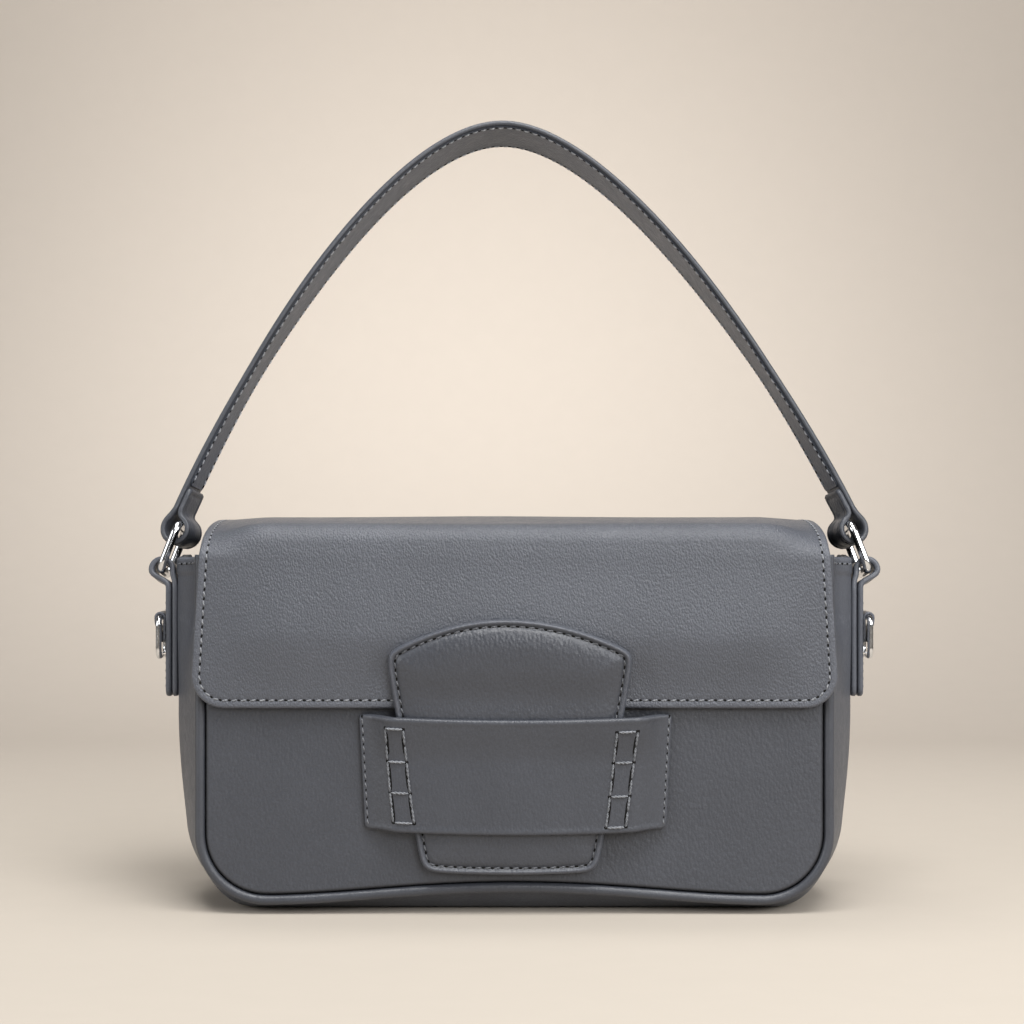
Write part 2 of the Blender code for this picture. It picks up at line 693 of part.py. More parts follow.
def strap_half(s):
    return mix(STRAP_HALF_END, STRAP_HALF_TOP, ease((s - ARCH_FOOT_S) / STRAP_WIDEN_LENGTH))


def fold_points(side):
    """The end of the strap, folded back inside the arch, from the loop upwards."""
    fold = whole_arch(STRAP_LAYER + GAP + STRAP_LAYER / 2)
    run = fold if side > 0 else list(reversed(fold))
    length = 0.0
    kept = [run[0]]
    for a, b in zip(run, run[1:]):
        length += (Vector(b) - Vector(a)).length
        if length > FOLD_LENGTH:
            break
        kept.append(b)
    return kept


def strap_loop(side):
    """The loop round a ring, from the folded end down and out to the arch's foot."""
    radius = STRAP_LOOP_RADIUS
    centre = (side * STRAP_LOOP_X, STRAP_LOOP_S)
    fold = fold_points(side)
    start = fold[0]
    end = whole_arch(STRAP_LAYER / 2)[0 if side > 0 else -1]
    pull = (ARCH_FOOT_S - STRAP_LOOP_S) / 2
    splay = (side * math.sin(ARCH_SPLAY) * pull, -math.cos(ARCH_SPLAY) * pull)
    inner = (centre[0] - side * radius, centre[1])
    outer = (centre[0] + side * radius, centre[1])
    down = bezier(start, (start[0] + splay[0], start[1] + splay[1]), (inner[0], inner[1] + pull),
                  inner, BEND_STEPS)
    if side > 0:
        under = arc(centre, radius, math.pi, 2 * math.pi, LOOP_STEPS)
    else:
        under = arc(centre, radius, 0.0, -math.pi, LOOP_STEPS)
    up = bezier(outer, (outer[0], outer[1] + pull), (end[0] + splay[0], end[1] + splay[1]),
                end, BEND_STEPS)
    return list(reversed(fold))[:-1] + down + under[1:-1] + up


def add_strap(neck):
    right = strap_loop(1)
    left = list(reversed(strap_loop(-1)))
    path = right + whole_arch(STRAP_LAYER / 2)[1:-1] + left
    halves = [strap_half(s) for _, s in path]
    ribbon("shoulder_strap", path, halves, STRAP_LAYER, 1, leather_look("shoulder_strap"), neck)
    inside = whole_arch(STRAP_LAYER + GAP + STRAP_LINING / 2)
    right_end = len(fold_points(1))
    left_end = len(inside) - len(fold_points(-1))
    kept = inside[right_end:left_end]
    halves = [strap_half(s) for _, s in kept]
    ribbon("strap_lining", kept, halves, STRAP_LINING, 1,
           leather_look("strap_lining", SLATE_DEEP), neck)


def main():
    clear_scene()
    face = flap_stack()[2]
    hinge = anchor("flap_hinge", Matrix.Translation((0.0, face, hinge_height())))
    crease = anchor("flap_crease", Matrix.Translation((0.0, -face, hinge_height())), hinge)
    lean = Matrix.Rotation(-STRAP_LEAN, 4, "X")
    neck = anchor("strap_neck", Matrix.Translation((0.0, 0.0, NECK_HEIGHT)) @ lean)
    add_panels()
    add_piping("front_piping", -1)
    add_piping("back_piping", 1)
    add_gusset()
    add_band()
    add_flap_root()
    add_flap_top(hinge)
    add_flap_front(crease)
    add_tongue(crease)
    for side_name, side in (("left", -1), ("right", 1)):
        add_tab(side_name, side)
        add_side_frame(side_name, side)
        add_tab_loop(side_name, side, neck)
        add_ring(side_name, side, neck)
    add_strap(neck)


main()
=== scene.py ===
"""The look of the flap shoulder bag: leather, thread, polished metal and cloth over its solid frame.

Everything is in metres, with the bag standing on z = 0, its front facing -Y and Z up.
"""

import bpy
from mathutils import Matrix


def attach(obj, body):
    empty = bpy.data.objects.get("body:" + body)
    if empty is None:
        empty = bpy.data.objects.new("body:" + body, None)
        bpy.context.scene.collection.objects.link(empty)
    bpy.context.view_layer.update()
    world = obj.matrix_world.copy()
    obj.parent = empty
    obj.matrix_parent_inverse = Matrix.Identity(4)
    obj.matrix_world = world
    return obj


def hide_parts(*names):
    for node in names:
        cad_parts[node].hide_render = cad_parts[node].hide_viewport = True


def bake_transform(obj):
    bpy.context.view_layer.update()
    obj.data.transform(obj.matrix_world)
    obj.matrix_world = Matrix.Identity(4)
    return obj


bl_info = {
    "name": "Flap Shoulder Bag",
    "version": (1, 0, 0),
    "blender": (4, 5, 0),
    "location": "3D View > Sidebar > Bag",
    "description": "Dresses a structured flap shoulder bag in leather, thread, metal and cloth",
    "category": "Object",
}

import math

import bpy
import numpy as np
from bpy.props import FloatProperty, FloatVectorProperty, PointerProperty

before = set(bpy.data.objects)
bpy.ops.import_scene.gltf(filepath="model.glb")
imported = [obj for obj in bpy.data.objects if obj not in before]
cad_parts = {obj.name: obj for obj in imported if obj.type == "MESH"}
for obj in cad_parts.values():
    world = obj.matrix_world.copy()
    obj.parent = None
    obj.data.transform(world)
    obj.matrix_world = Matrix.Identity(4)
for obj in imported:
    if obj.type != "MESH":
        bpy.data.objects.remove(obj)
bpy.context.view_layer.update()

MM = 0.001

# Sizes shared with the solids
LEATHER = 2.2 * MM
LINING = 0.8 * MM
GAP = 0.3 * MM
FACE = 43.0 * MM
PANEL_HALF = 119.4 * MM
PANEL_TOP = 146.0 * MM
PANEL_SIGHT_TOP = 143.5 * MM
PANEL_CORNER = 23.5 * MM
PANEL_FALL_FROM = 80 * MM
PANEL_FALL = 38 * MM
PANEL_LEAN = 2.0 * MM
PANEL_LEAN_FROM = 128 * MM
SEAM_LOW = 7.3 * MM
SEAM_ARCH = 4.8 * MM
PIPING_RADIUS = 2.0 * MM
PIPING_DEPTH = 41.3 * MM
GUSSET_HALF = 135.2 * MM
GUSSET_CORNER = 30.5 * MM
GUSSET_TOP = 139.0 * MM
PANEL_END_TOP = GUSSET_TOP - 0.8 * MM
GUSSET_SEAM_OUT = 3.6 * MM
GUSSET_DRAWN_IN = 0.032
GUSSET_DRAWN_FROM = 78 * MM
GUSSET_DEPTH = 39.0 * MM
HEM_DIP = 9.0 * MM
PANEL_SLACK = 0.8 * MM
HEM_STITCH = 2.2 * MM
HEM_WIDTH = 6.0 * MM
HEM_RISE = 0.55 * MM
BOARD = 2.5 * MM
FLAP_FACE = 46.9 * MM
FLAP_CREST = 153.4 * MM
FLAP_CROWN = 1.5 * MM
FLAP_BEND = 8.0 * MM
FLAP_HINGE = FLAP_CREST - FLAP_CROWN - FLAP_BEND
FLAP_LOW = 79.5 * MM
FLAP_CORNER = 12.5 * MM
FLAP_HALF_BACK = 111.0 * MM
FLAP_HALF_CREST = 119.6 * MM
FLAP_HALF_FRONT = 121.2 * MM
FLAP_HALF_LOW = 124.3 * MM
FLAP_BELLY = 3.3 * MM
FLAP_STITCH = 3.1 * MM
CREST_ARCH_FROM = 137.0 * MM
CREST_ARCH_TOP = 151.7 * MM
CREST_ARCH_SHARE = 0.22
ROOT_LOW = 100.0 * MM
SEAM_BACK = 33.0 * MM
TONGUE_SHIFT = -1.8 * MM
TONGUE_APEX = (-3.6 * MM, 114.1 * MM)
TONGUE_SHOULDER = 101.2 * MM
TONGUE_LOW = 15.4 * MM
TONGUE_HEIGHTS = (14.0, 24.0, 31.0, 50.0, 77.0, 88.0, 97.0, 104.0)
TONGUE_HALVES = (33.9, 35.0, 36.4, 39.4, 43.7, 45.6, 46.7, 47.0)
TONGUE_THICKNESS = 2.0 * MM
TONGUE_MIDDLE = 66.0 * MM
TONGUE_STITCH = 2.7 * MM
TUCK_FROM = 79.0 * MM
TUCK_TO = 58.0 * MM
TUCK_IN = 3.0 * MM
BAND_SHIFT = 0.4 * MM
BAND_HALF_TOP = 60.3 * MM
BAND_HALF_LOW = 58.0 * MM
BAND_TOP = 77.2 * MM
BAND_LOW = 33.0 * MM
BAND_SAG = 1.8 * MM
BAND_THICKNESS = 2.4 * MM
BAND_STITCH = 1.2 * MM
TAB_HALF_WIDTH = 8.0 * MM
TAB_LOW = 80.8 * MM
TAB_LOOP_RADIUS = 4.2 * MM
TAB_STITCH = 2.0 * MM
NECK_HEIGHT = 124.0 * MM
LEAN = math.radians(9.0)
RING_ROUND = 1.7 * MM
RING_LOW = (142.0 * MM, 6.9 * MM)
RING_LENGTH = 19.4 * MM
RING_TILT = math.radians(20.0)
RING_HALF_WIDTH = 10.5 * MM
RING_CORNER = 4.0 * MM
STRAP_LAYER = 2.0 * MM
STRAP_LINING_SKIN = 0.55 * MM
STRAP_LOOP = (135.6 * MM, 23.3 * MM)
STRAP_LOOP_RADIUS = 5.2 * MM
STRAP_FOLD = 9.0 * MM
STRAP_STITCH = 2.4 * MM
STRAP_UNDER_STITCH = 1.2 * MM
ARCH_FOOT = (136.2 * MM, 33.0 * MM)
ARCH_TOP = 193.0 * MM
ARCH_SPLAY = math.radians(24.0)
ARCH_FOOT_PULL = 74.0 * MM
ARCH_TOP_PULL = 45.0 * MM
ARCH_SHIFT = -5.0 * MM
STRAP_HALF_END = 8.0 * MM
STRAP_HALF_TOP = 14.0 * MM
STRAP_WIDEN = 110.0 * MM
FRAME_WIRE = 1.0 * MM
FRAME_ROUND = 1.2 * MM
FRAME_BARS = 142.8 * MM
FRAME_TOP = 113.5 * MM
FRAME_HEIGHT = 17.5 * MM
FRAME_HALF_WIDTH = 9.0 * MM
FRAME_CORNER = 3.0 * MM
CHAPE_LEATHER = 1.0 * MM
CHAPE_HALF_WIDTH = 6.0 * MM
CHAPE_LENGTH = 10.0 * MM

# The bag's two sides, and numbers of its finishes
SIDES = (("left", -1), ("right", 1))
SOFT_BUMP = 0.07
TWILL_SCALE = 1500.0 / 6.28

# The paper sweep and the camera, whose lens is in millimetres and gives 2220 pixels a radian
WALL_BACK = 1.3
# The share of the wall's colour left away from the bag, where its painted pool of light has faded.
WALL_PAINTED_FALLOFF = 0.67
SWEEP_RADIUS = 0.7
FLOOR_DROP = 0.6 * MM
CAMERA = (-0.001, -0.900, 0.155)
SENSOR = 36.0
LENS = SENSOR * 2220.0 / 1024.0

# How the gusset bulges across its depth, at its top, sides and bottom, and how far its hem dips
DEPTH_SHARES = (-1.0, -0.72, -0.45, -0.21, 0.0, 0.21, 0.45, 0.72, 1.0)
TOP_BULGE_SHARES = (0.0, 0.16, 0.42, 1.0, 1.0, 1.0, 0.42, 0.16, 0.0)
SIDE_BULGE_SHARES = (0.0, 0.40, 0.74, 1.0, 1.0, 1.0, 0.74, 0.40, 0.0)
BASE_BULGE_SHARES = (0.0, 1.0, 1.0, 1.0, 1.0, 1.0, 1.0, 1.0, 0.0)
HEM_DIP_SHARES = (0.08, 0.12, 0.20, 0.24, 0.20, 0.20, 1.0, 0.75, 0.0)

# Rings of points inside a cut edge, so that a turned edge and its stitching are round, and how far in
# the rim attribute reaches
INSETS = np.array([0, 0.1, 0.3, 0.6, 1.0, 1.5, 2.0, 2.5, 3.0, 3.5, 4.2, 5.2]) * MM
RIM_REACH = 10 * MM
THIN_INSETS = np.array([0, 0.1, 0.25, 0.5, 0.8, 1.2]) * MM


# Small sums used by every piece

def unit(v):
    """A vector, or each of many, at length one."""
    return v / np.maximum(np.linalg.norm(v, axis=-1, keepdims=True), 1e-12)


def ease(share):
    """A share that starts and stops softly: s * s * (3 - 2 s)."""
    share = np.clip(share, 0.0, 1.0)
    return share * share * (3.0 - 2.0 * share)


def mix(a, b, share):
    """From a to b by a share."""
    return a + (b - a) * share


def bell(x, middle, width):
    """One at its middle, falling off either side as a bell does."""
    return np.exp(-((x - middle) / width) ** 2)


def lengths(path):
    """How far along a line each of its points lies."""
    step = np.linalg.norm(np.diff(path, axis=0), axis=1)
    return np.concatenate([[0.0], np.cumsum(step)])


def along(path, at):
    """Points at given distances along a line, straight between its own points."""
    run = lengths(path)
    return np.stack([np.interp(at, run, path[:, k]) for k in range(path.shape[1])], -1)


def spaced(path, count):
    """The same line, drawn again with equal steps."""
    return along(path, np.linspace(0.0, lengths(path)[-1], count))


def arc(centre, radius, start, end, count=24):
    """Part of a circle: centre + radius * (cos t, sin t), for t from start to end."""
    turn = np.linspace(start, end, count)
    return np.stack([centre[0] + radius * np.cos(turn), centre[1] + radius * np.sin(turn)], 1)


def bezier(a, b, c, d, count=60):
    """A cubic curve: (1-t)^3 a + 3(1-t)^2 t b + 3(1-t) t^2 c + t^3 d."""
    t = np.linspace(0.0, 1.0, count)[:, None]
    u = 1.0 - t
    a, b, c, d = (np.array(p, float) for p in (a, b, c, d))
    return u ** 3 * a + 3 * u * u * t * b + 3 * u * t * t * c + t ** 3 * d


def left_of(path):
    """The unit normal to the left of a flat line at each of its points."""
    way = unit(np.gradient(path, axis=0))
    return np.stack([-way[:, 1], way[:, 0]], 1)


def rounded(corners, radii):
    """A line through corner points, with each inner corner turned by an arc of its own radius.
    The arc's centre lies on the corner's bisector, radius / sin(half angle) from the corner."""
    corners = [np.array(c, float) for c in corners]
    drawn = [corners[0][None]]
    for before, corner, after, radius in zip(corners, corners[1:], corners[2:], radii):
        u, v = unit(before - corner), unit(after - corner)
        half = math.acos(float(np.clip(u @ v, -1, 1))) / 2
        centre = corner + unit(u + v) * radius / math.sin(half)
        first = corner + u * radius / math.tan(half) - centre
        last = corner + v * radius / math.tan(half) - centre
        start = math.atan2(first[1], first[0])
        turn = (math.atan2(last[1], last[0]) - start + math.pi) % (2 * math.pi) - math.pi
        drawn.append(arc(centre, radius, start, start + turn, 20))
    return np.concatenate(drawn + [corners[-1][None]])


def table(at, places, values):
    """A smooth curve through a short table, a cubic between neighbours with slopes from both sides."""
    places, values = np.array(places), np.array(values)
    slopes = np.gradient(values, places)
    k = np.clip(np.searchsorted(places, at) - 1, 0, len(places) - 2)
    width = places[k + 1] - places[k]
    t = np.clip((at - places[k]) / width, 0.0, 1.0)
    return ((1 + 2 * t) * (1 - t) ** 2 * values[k] + t * (1 - t) ** 2 * width * slopes[k]
            + t * t * (3 - 2 * t) * values[k + 1] + t * t * (t - 1) * width * slopes[k + 1])


def edge_distance(points, outline):
    """The shortest way from each point to a drawn line: the least distance to any of its short runs."""
    shape = points.shape[:-1]
    points = points.reshape(-1, 2)
    a, run = outline[:-1], np.diff(outline, axis=0)
    square = np.maximum((run ** 2).sum(1), 1e-18)
    found = []
    for part in np.array_split(points, max(1, len(points) // 4000)):
        t = ((part[:, None] - a[None]) * run[None]).sum(2) / square
        off = a[None] + np.clip(t, 0, 1)[..., None] * run[None] - part[:, None]
        found.append(np.sqrt((off ** 2).sum(2).min(1)))
    return np.concatenate(found).reshape(shape)


# Meshes

def volume(points, groups):
    """The signed volume inside a closed skin, the sum of p0 . (p1 x p2) / 6 over its triangles."""
    total = 0.0
    for faces in groups:
        for k in range(1, faces.shape[1] - 1):
            p0, p1, p2 = points[faces[:, 0]], points[faces[:, k]], points[faces[:, k + 1]]
            total += np.einsum("ij,ij->", p0, np.cross(p1, p2)) / 6.0
    return total


def put_mesh(name, points, groups, look, rim=None):
    """Write whole arrays of points and faces into one shaded object, with its faces pointing out."""
    points = np.asarray(points, float).reshape(-1, 3)
    if volume(points, groups) < 0.0:
        groups = [faces[:, ::-1] for faces in groups]
    counts = np.concatenate([np.full(len(faces), faces.shape[1]) for faces in groups])
    corners = np.concatenate([faces.ravel() for faces in groups])
    mesh = bpy.data.meshes.new(name)
    mesh.vertices.add(len(points))
    mesh.vertices.foreach_set("co", points.astype(np.float32).ravel())
    mesh.loops.add(len(corners))
    mesh.loops.foreach_set("vertex_index", corners.astype(np.int32))
    mesh.polygons.add(len(counts))
    mesh.polygons.foreach_set("loop_start", (np.cumsum(counts) - counts).astype(np.int32))
    mesh.update(calc_edges=True)
    if rim is not None:
        mesh.attributes.new("rim", "FLOAT", "POINT").data.foreach_set("value", rim.astype(np.float32))
    mesh.shade_smooth()
    mesh.materials.append(look)
    made = bpy.data.objects.new(name, mesh)
    bpy.context.scene.collection.objects.link(made)
    return made


def lifted(bend, pattern, lift):
    """The bent surface moved out along its own normal, the cross product of its two slopes."""
    d = 0.1 * MM
    a, b = pattern[..., 0], pattern[..., 1]
    across = bend(a + d, b) - bend(a - d, b)
    upward = bend(a, b + d) - bend(a, b - d)
    normal = unit(np.cross(across, upward))
    return bend(a, b) + normal * np.asarray(lift)[..., None], normal


def cut_piece(name, lower, upper, spine, bend, relief, thickness, look, step=1.5 * MM,
              insets=INSETS, free=None):
    """A cut piece of leather or cloth as one closed skin.

    lower and upper are the two sides of its flat pattern, from one end to the other. Rings of points
    lie on straight rays from the outline to the spine, first at set depths inside the edge and then by
    even shares. The bend lays the flat pattern (a, b) in space, relief(edge, a, b) lifts its face by the
    distance to the nearest free edge, and the under side lies one thickness below."""
    half = int(max(lengths(lower)[-1], lengths(upper)[-1]) / step)
    side, other = spaced(lower, half + 1), spaced(upper, half + 1)
    loop = np.concatenate([side, other[-2:0:-1]])
    ahead, behind = np.roll(loop, -1, 0), np.roll(loop, 1, 0)
    area = (loop[:, 0] * ahead[:, 1] - ahead[:, 0] * loop[:, 1]).sum()
    way = unit(ahead - behind) * np.sign(area)
    inward = np.stack([-way[:, 1], way[:, 0]], 1)
    middle = mix(np.array(spine[0]), np.array(spine[1]), np.linspace(0, 1, half + 1)[:, None])
    ring_middle = np.concatenate([middle, middle[-2:0:-1]])
    ray = ring_middle - loop
    depth = np.maximum((ray * inward).sum(1), 0.35 * np.linalg.norm(ray, axis=1))
    share = np.minimum(insets[:, None] / depth[None], 0.7 * insets[:, None] / insets[-1])
    rings = loop[None] + ray[None] * share[..., None]
    reach = np.linalg.norm(ring_middle - rings[-1], axis=1).max()
    shares = np.linspace(0, 1, max(3, int(reach / step)) + 1)[1:-1]
    inner = rings[-1][None] + (ring_middle - rings[-1])[None] * shares[:, None, None]
    face = np.concatenate([rings, inner])
    if free is None:
        free = np.concatenate([loop, loop[:1]])
    edge = edge_distance(face, free)
    spine_edge = edge_distance(middle, free)
    under = lambda e: -0.25 * thickness * (1 - np.minimum(e / (0.5 * thickness), 1.0)) ** 2
    kept = sorted(set(range(0, len(insets), 3)) | set(range(len(insets), len(face), 2)) | {0})
    top, _ = lifted(bend, face, relief(edge, face[..., 0], face[..., 1]))
    top_spine, _ = lifted(bend, middle, relief(spine_edge, middle[:, 0], middle[:, 1]))
    low, _ = lifted(bend, face[kept], -thickness - under(edge[kept]))
    low_spine, _ = lifted(bend, middle, -thickness - under(spine_edge))
    around, j = len(loop), np.arange(len(loop))
    after, fold = (j + 1) % around, np.minimum(j, around - j)

    def skin(rings_made, start, spine_start):
        k = start + np.arange(rings_made - 1)[:, None] * around
        quads = np.stack([k + j, k + after, k + around + after, k + around + j], -1).reshape(-1, 4)
        last = start + (rings_made - 1) * around
        close = np.stack([last + j, last + after, spine_start + fold[after], spine_start + fold[j]], -1)
        return np.concatenate([quads, close])

    top_count, low_count = len(face), len(kept)
    spine_at = top_count * around
    low_at = spine_at + half + 1
    low_spine_at = low_at + low_count * around
    faces = [skin(top_count, 0, spine_at), skin(low_count, low_at, low_spine_at)[:, ::-1],
             np.stack([j, low_at + j, low_at + after, after], -1)]
    points = np.concatenate([top.reshape(-1, 3), top_spine, low.reshape(-1, 3), low_spine])
    rim = np.concatenate([edge.ravel(), spine_edge, edge[kept].ravel(), spine_edge])
    return put_mesh(name, points, [np.concatenate(faces)], look, np.minimum(rim / RIM_REACH, 1.0))


def grid_skin(name, outer, inner, look, rim=None):
    """A closed skin between two grids of points of one shape, with a wall round its edge."""
    rows, columns = outer.shape[:2]
    index = np.arange(rows * columns).reshape(rows, columns)
    quads = np.stack([index[:-1, :-1], index[:-1, 1:], index[1:, 1:], index[1:, :-1]], -1).reshape(-1, 4)
    loop = np.concatenate([index[0, :-1], index[:-1, -1], index[-1, :0:-1], index[:0:-1, 0]])
    after = np.roll(loop, -1)
    shift = rows * columns
    wall = np.stack([loop, loop + shift, after + shift, after], -1)
    faces = np.concatenate([quads, quads[:, ::-1] + shift, wall])
    rims = None if rim is None else np.tile(rim.ravel(), 2)
    return put_mesh(name, np.concatenate([outer.reshape(-1, 3), inner.reshape(-1, 3)]), [faces], look, rims)


def ring_faces(rings):
    """The faces between numbered rings of points, each joined to the next."""
    after = np.roll(rings, -1, 1)
    return np.stack([rings[:-1], after[:-1], after[1:], rings[1:]], -1).reshape(-1, 4)


def tube(name, path, out, depth, radius, look, squeeze, sides=16):
    """A round cord along a line: path + radius * (cos t * out + sin t * depth), with its ends closed."""
    turn = np.linspace(0, 2 * np.pi, sides, endpoint=False)[None, :, None]
    swell = radius * squeeze[:, None, None]
    rings = path[:, None] + swell * (np.cos(turn) * out[:, None] + np.sin(turn) * depth[:, None])
    index = np.arange(len(path) * sides).reshape(len(path), sides)
    return put_mesh(name, rings, [ring_faces(index), np.stack([index[0][::-1], index[-1]])], look)


# Thread

def capsule(length, radius, lift, sides=6, flat=1.0, ply=None):
    """One stitch: a round bar whose rings shrink at its ends, where it dives into the leather. A ply
    winds about the middle line by half a radius, starting at its own turn."""
    at = np.array([-0.5, -0.42, -0.22, 0.0, 0.22, 0.42, 0.5])
    if ply is not None:
        at = np.concatenate([[-0.5], np.linspace(-0.46, 0.46, 15), [0.5]])
    swell = np.interp(np.abs(at), [0.22, 0.42, 0.5], [1.0, 0.78, 0.30])
    dive = flat * (lift / flat - 1.6 * radius * (2 * np.abs(at)) ** 4)
    wind = np.zeros((2, len(at)))
    if ply is not None:
        phase = 2 * np.pi * length / (3.4 * MM) * at + ply
        wind = 0.55 * radius * swell * np.stack([np.cos(phase), np.sin(phase)])
    turn = np.linspace(0, 2 * np.pi, sides, endpoint=False)
    x = np.repeat(at * length, sides)
    y = (swell[:, None] * radius * np.cos(turn) + wind[0][:, None]).ravel()
    z = (swell[:, None] * radius * flat * np.sin(turn) + (dive + wind[1])[:, None]).ravel()
    index = np.arange(len(at) * sides).reshape(len(at), sides)
    after = np.roll(index, -1, 1)
    quads = np.stack([index[:-1], index[1:], after[1:], after[:-1]], -1).reshape(-1, 4)
    caps = np.stack([index[0], index[-1][::-1]])
    return np.stack([x, y, z], 1), quads, caps


def sewn_points(runs, pitch, offset):
    """Centres, directions and normals at even steps along each sewn line."""
    centres, ways, ups = [], [], []
    for points, normals in runs:
        run = lengths(points)
        count = max(1, int(round(run[-1] / pitch)))
        at = (np.arange(count) + offset) * run[-1] / count
        centres.append(along(points, at))
        here, there = along(points, at - 0.4 * MM), along(points, at + 0.4 * MM)
        ways.append(unit(there - here))
        ups.append(unit(np.stack([np.interp(at, run, normals[:, k]) for k in range(3)], -1)))
    return np.concatenate(centres), np.concatenate(ways), np.concatenate(ups)


def sew(name, runs, pitch, length, radius, look, lift=0.0, slant=0.0, offset=0.5, flat=1.0, ply=None):
    """Many stitches as one mesh: the capsule turned to the line's direction and the leather's normal."""
    centres, way, up = sewn_points(runs, pitch, offset)
    side = unit(np.cross(up, way))
    way = unit(way + side * slant)
    side = unit(np.cross(up, way))
    shape, quads, caps = capsule(length, radius, lift, flat=flat, ply=ply)
    points = (centres[:, None] + shape[None, :, :1] * way[:, None] + shape[None, :, 1:2] * side[:, None]
              + shape[None, :, 2:] * up[:, None])
    shift = (np.arange(len(centres)) * len(shape))[:, None, None]
    groups = [(faces[None] + shift).reshape(-1, faces.shape[1]) for faces in (quads, caps)]
    return put_mesh(name, points, groups, look)


def sewn_line(bend, path, lift):
    """A sewn line on a bent piece, as close points in space and the leather's normals there."""
    fine = spaced(np.asarray(path, float), max(8, int(lengths(np.asarray(path))[-1] / (0.4 * MM))))
    return lifted(bend, fine, np.full(len(fine), lift))


# Finishes

def join(tree, value, socket):
    """Give an input its value, or join it to another node's output."""
    if isinstance(value, bpy.types.NodeSocket):
        tree.links.new(value, socket)
    else:
        socket.default_value = value


def node(tree, kind, **values):
    """One shader node. Its settings, and the values or joins of its inputs, are given by name."""
    made = tree.nodes.new(kind)
    for key, value in values.items():
        if key in made.inputs:
            join(tree, value, made.inputs[key])
        else:
            setattr(made, key, value)
    return made


def finish_tree(name):
    """A new material, its nodes and the place of a point on the object."""
    made = bpy.data.materials.new(name)
    made.use_nodes = True
    return made, made.node_tree, node(made.node_tree, "ShaderNodeTexCoord").outputs["Object"]


def finished(tree, **inputs):
    """Give the shader its inputs, named with a line between their words."""
    for key, value in inputs.items():
        join(tree, value, tree.nodes["Principled BSDF"].inputs[key.replace("_", " ")])


def noise(tree, place, scale, detail, rough=0.5, warp=0.0):
    """Cloudy noise with so many clouds a metre."""
    return node(tree, "ShaderNodeTexNoise", Vector=place, Scale=scale, Detail=detail, Roughness=rough,
                Distortion=warp).outputs["Fac"]


def waves(tree, place, scale, way, warp=0.0, detail_scale=1.0):
    """Soft parallel ribs."""
    return node(tree, "ShaderNodeTexWave", Vector=place, Scale=scale, bands_direction=way, Distortion=warp,
                **{"Detail Scale": detail_scale}).outputs["Fac"]


def combined(tree, a, b, operation="MULTIPLY"):
    """Two values multiplied, or added."""
    made = node(tree, "ShaderNodeMath", operation=operation)
    join(tree, a, made.inputs[0])
    join(tree, b, made.inputs[1])
    return made.outputs[0]


def shaded(tree, colour, share):
    """A colour made darker or paler by a value."""
    made = node(tree, "ShaderNodeVectorMath", operation="SCALE", Scale=share)
    made.inputs[0].default_value = colour
    return made.outputs[0]


def raised(tree, height, strength, distance, **under):
    """The bump that a height gives."""
    made = node(tree, "ShaderNodeBump", Strength=strength, Distance=distance, Height=height, **under)
    return made.outputs["Normal"]


def ramp(tree, value, low, high, dark, light):
    """A value stretched from one range to another."""
    return node(tree, "ShaderNodeMapRange", **{"Value": value, "From Min": low, "From Max": high,
                                               "To Min": dark, "To Max": light}).outputs[0]


def leather_finish(name, colour, grain=1.0, rough=0.39, bump=0.5, edge_rub_and_shade=0.14, reach=(0.20, 0.32)):
    """Smooth coated calf: close pebble grain, faint mottling, and a band along the cut edges. Where the edge
    setting is above zero the band is paler, a rubbed edge that on the tongue's rolled border is also painted
    highlight.
    Where it is below zero the band is darker: painted shade in the panels' seams beside the piping and along
    the strap lining's edges, and a darker edge band on the strap."""
    made, tree, place = finish_tree(name)
    mottle = noise(tree, place, 26.0, 4.0, 0.6)
    pores = noise(tree, place, 1500.0 * grain, 3.0, 0.6)
    creases = noise(tree, place, 240.0, 5.0, 0.62, 0.6)
    drawn = node(tree, "ShaderNodeMapping", Vector=place, Rotation=(0.0, 0.6, 0.4), Scale=(1.0, 1.0, 0.62))
    pebbles = node(tree, "ShaderNodeTexVoronoi", feature="SMOOTH_F1", Vector=drawn.outputs[0],
                   Scale=900.0 * grain, Smoothness=0.6).outputs["Distance"]
    rim = node(tree, "ShaderNodeAttribute", attribute_name="rim").outputs["Fac"]
    both = combined(tree, ramp(tree, mottle, 0.3, 0.7, 0.93, 1.06), ramp(tree, pores, 0.35, 0.7, 0.88, 1.10))
    # Painted light and shade along the cut edges: paler for an edge setting above zero, darker for one below
    # it.
    edge_toned = combined(tree, both, ramp(tree, rim, *reach, 1.0 + edge_rub_and_shade, 1.0))
    height = combined(tree, combined(tree, pebbles, -0.7), combined(tree, pores, 0.5), "ADD")
    soft = raised(tree, creases, SOFT_BUMP, 0.0010)
    finished(tree, Base_Color=shaded(tree, colour, edge_toned), Specular_IOR_Level=0.5,
             Roughness=ramp(tree, creases, 0.3, 0.7, rough - 0.05, rough + 0.06),
             Normal=raised(tree, height, bump, 0.0004, Normal=soft))
    return made


def cloth_finish(name, colour):
    """Close twill lining: fine slanting ribs crossed by a plain weave."""
    made, tree, place = finish_tree(name)
    ribs = waves(tree, place, TWILL_SCALE, "DIAGONAL", 0.4, 3.0)
    woven = combined(tree, ribs, waves(tree, place, TWILL_SCALE, "Z"))
    mottle = ramp(tree, noise(tree, place, 900.0, 2.0), 0.3, 0.7, 0.9, 1.1)
    both = combined(tree, ramp(tree, woven, 0.0, 1.0, 0.8, 1.25), mottle)
    finished(tree, Base_Color=shaded(tree, colour, both), Roughness=0.82, Sheen_Weight=0.15,
             Normal=raised(tree, woven, 0.35, 0.0002))
    return made


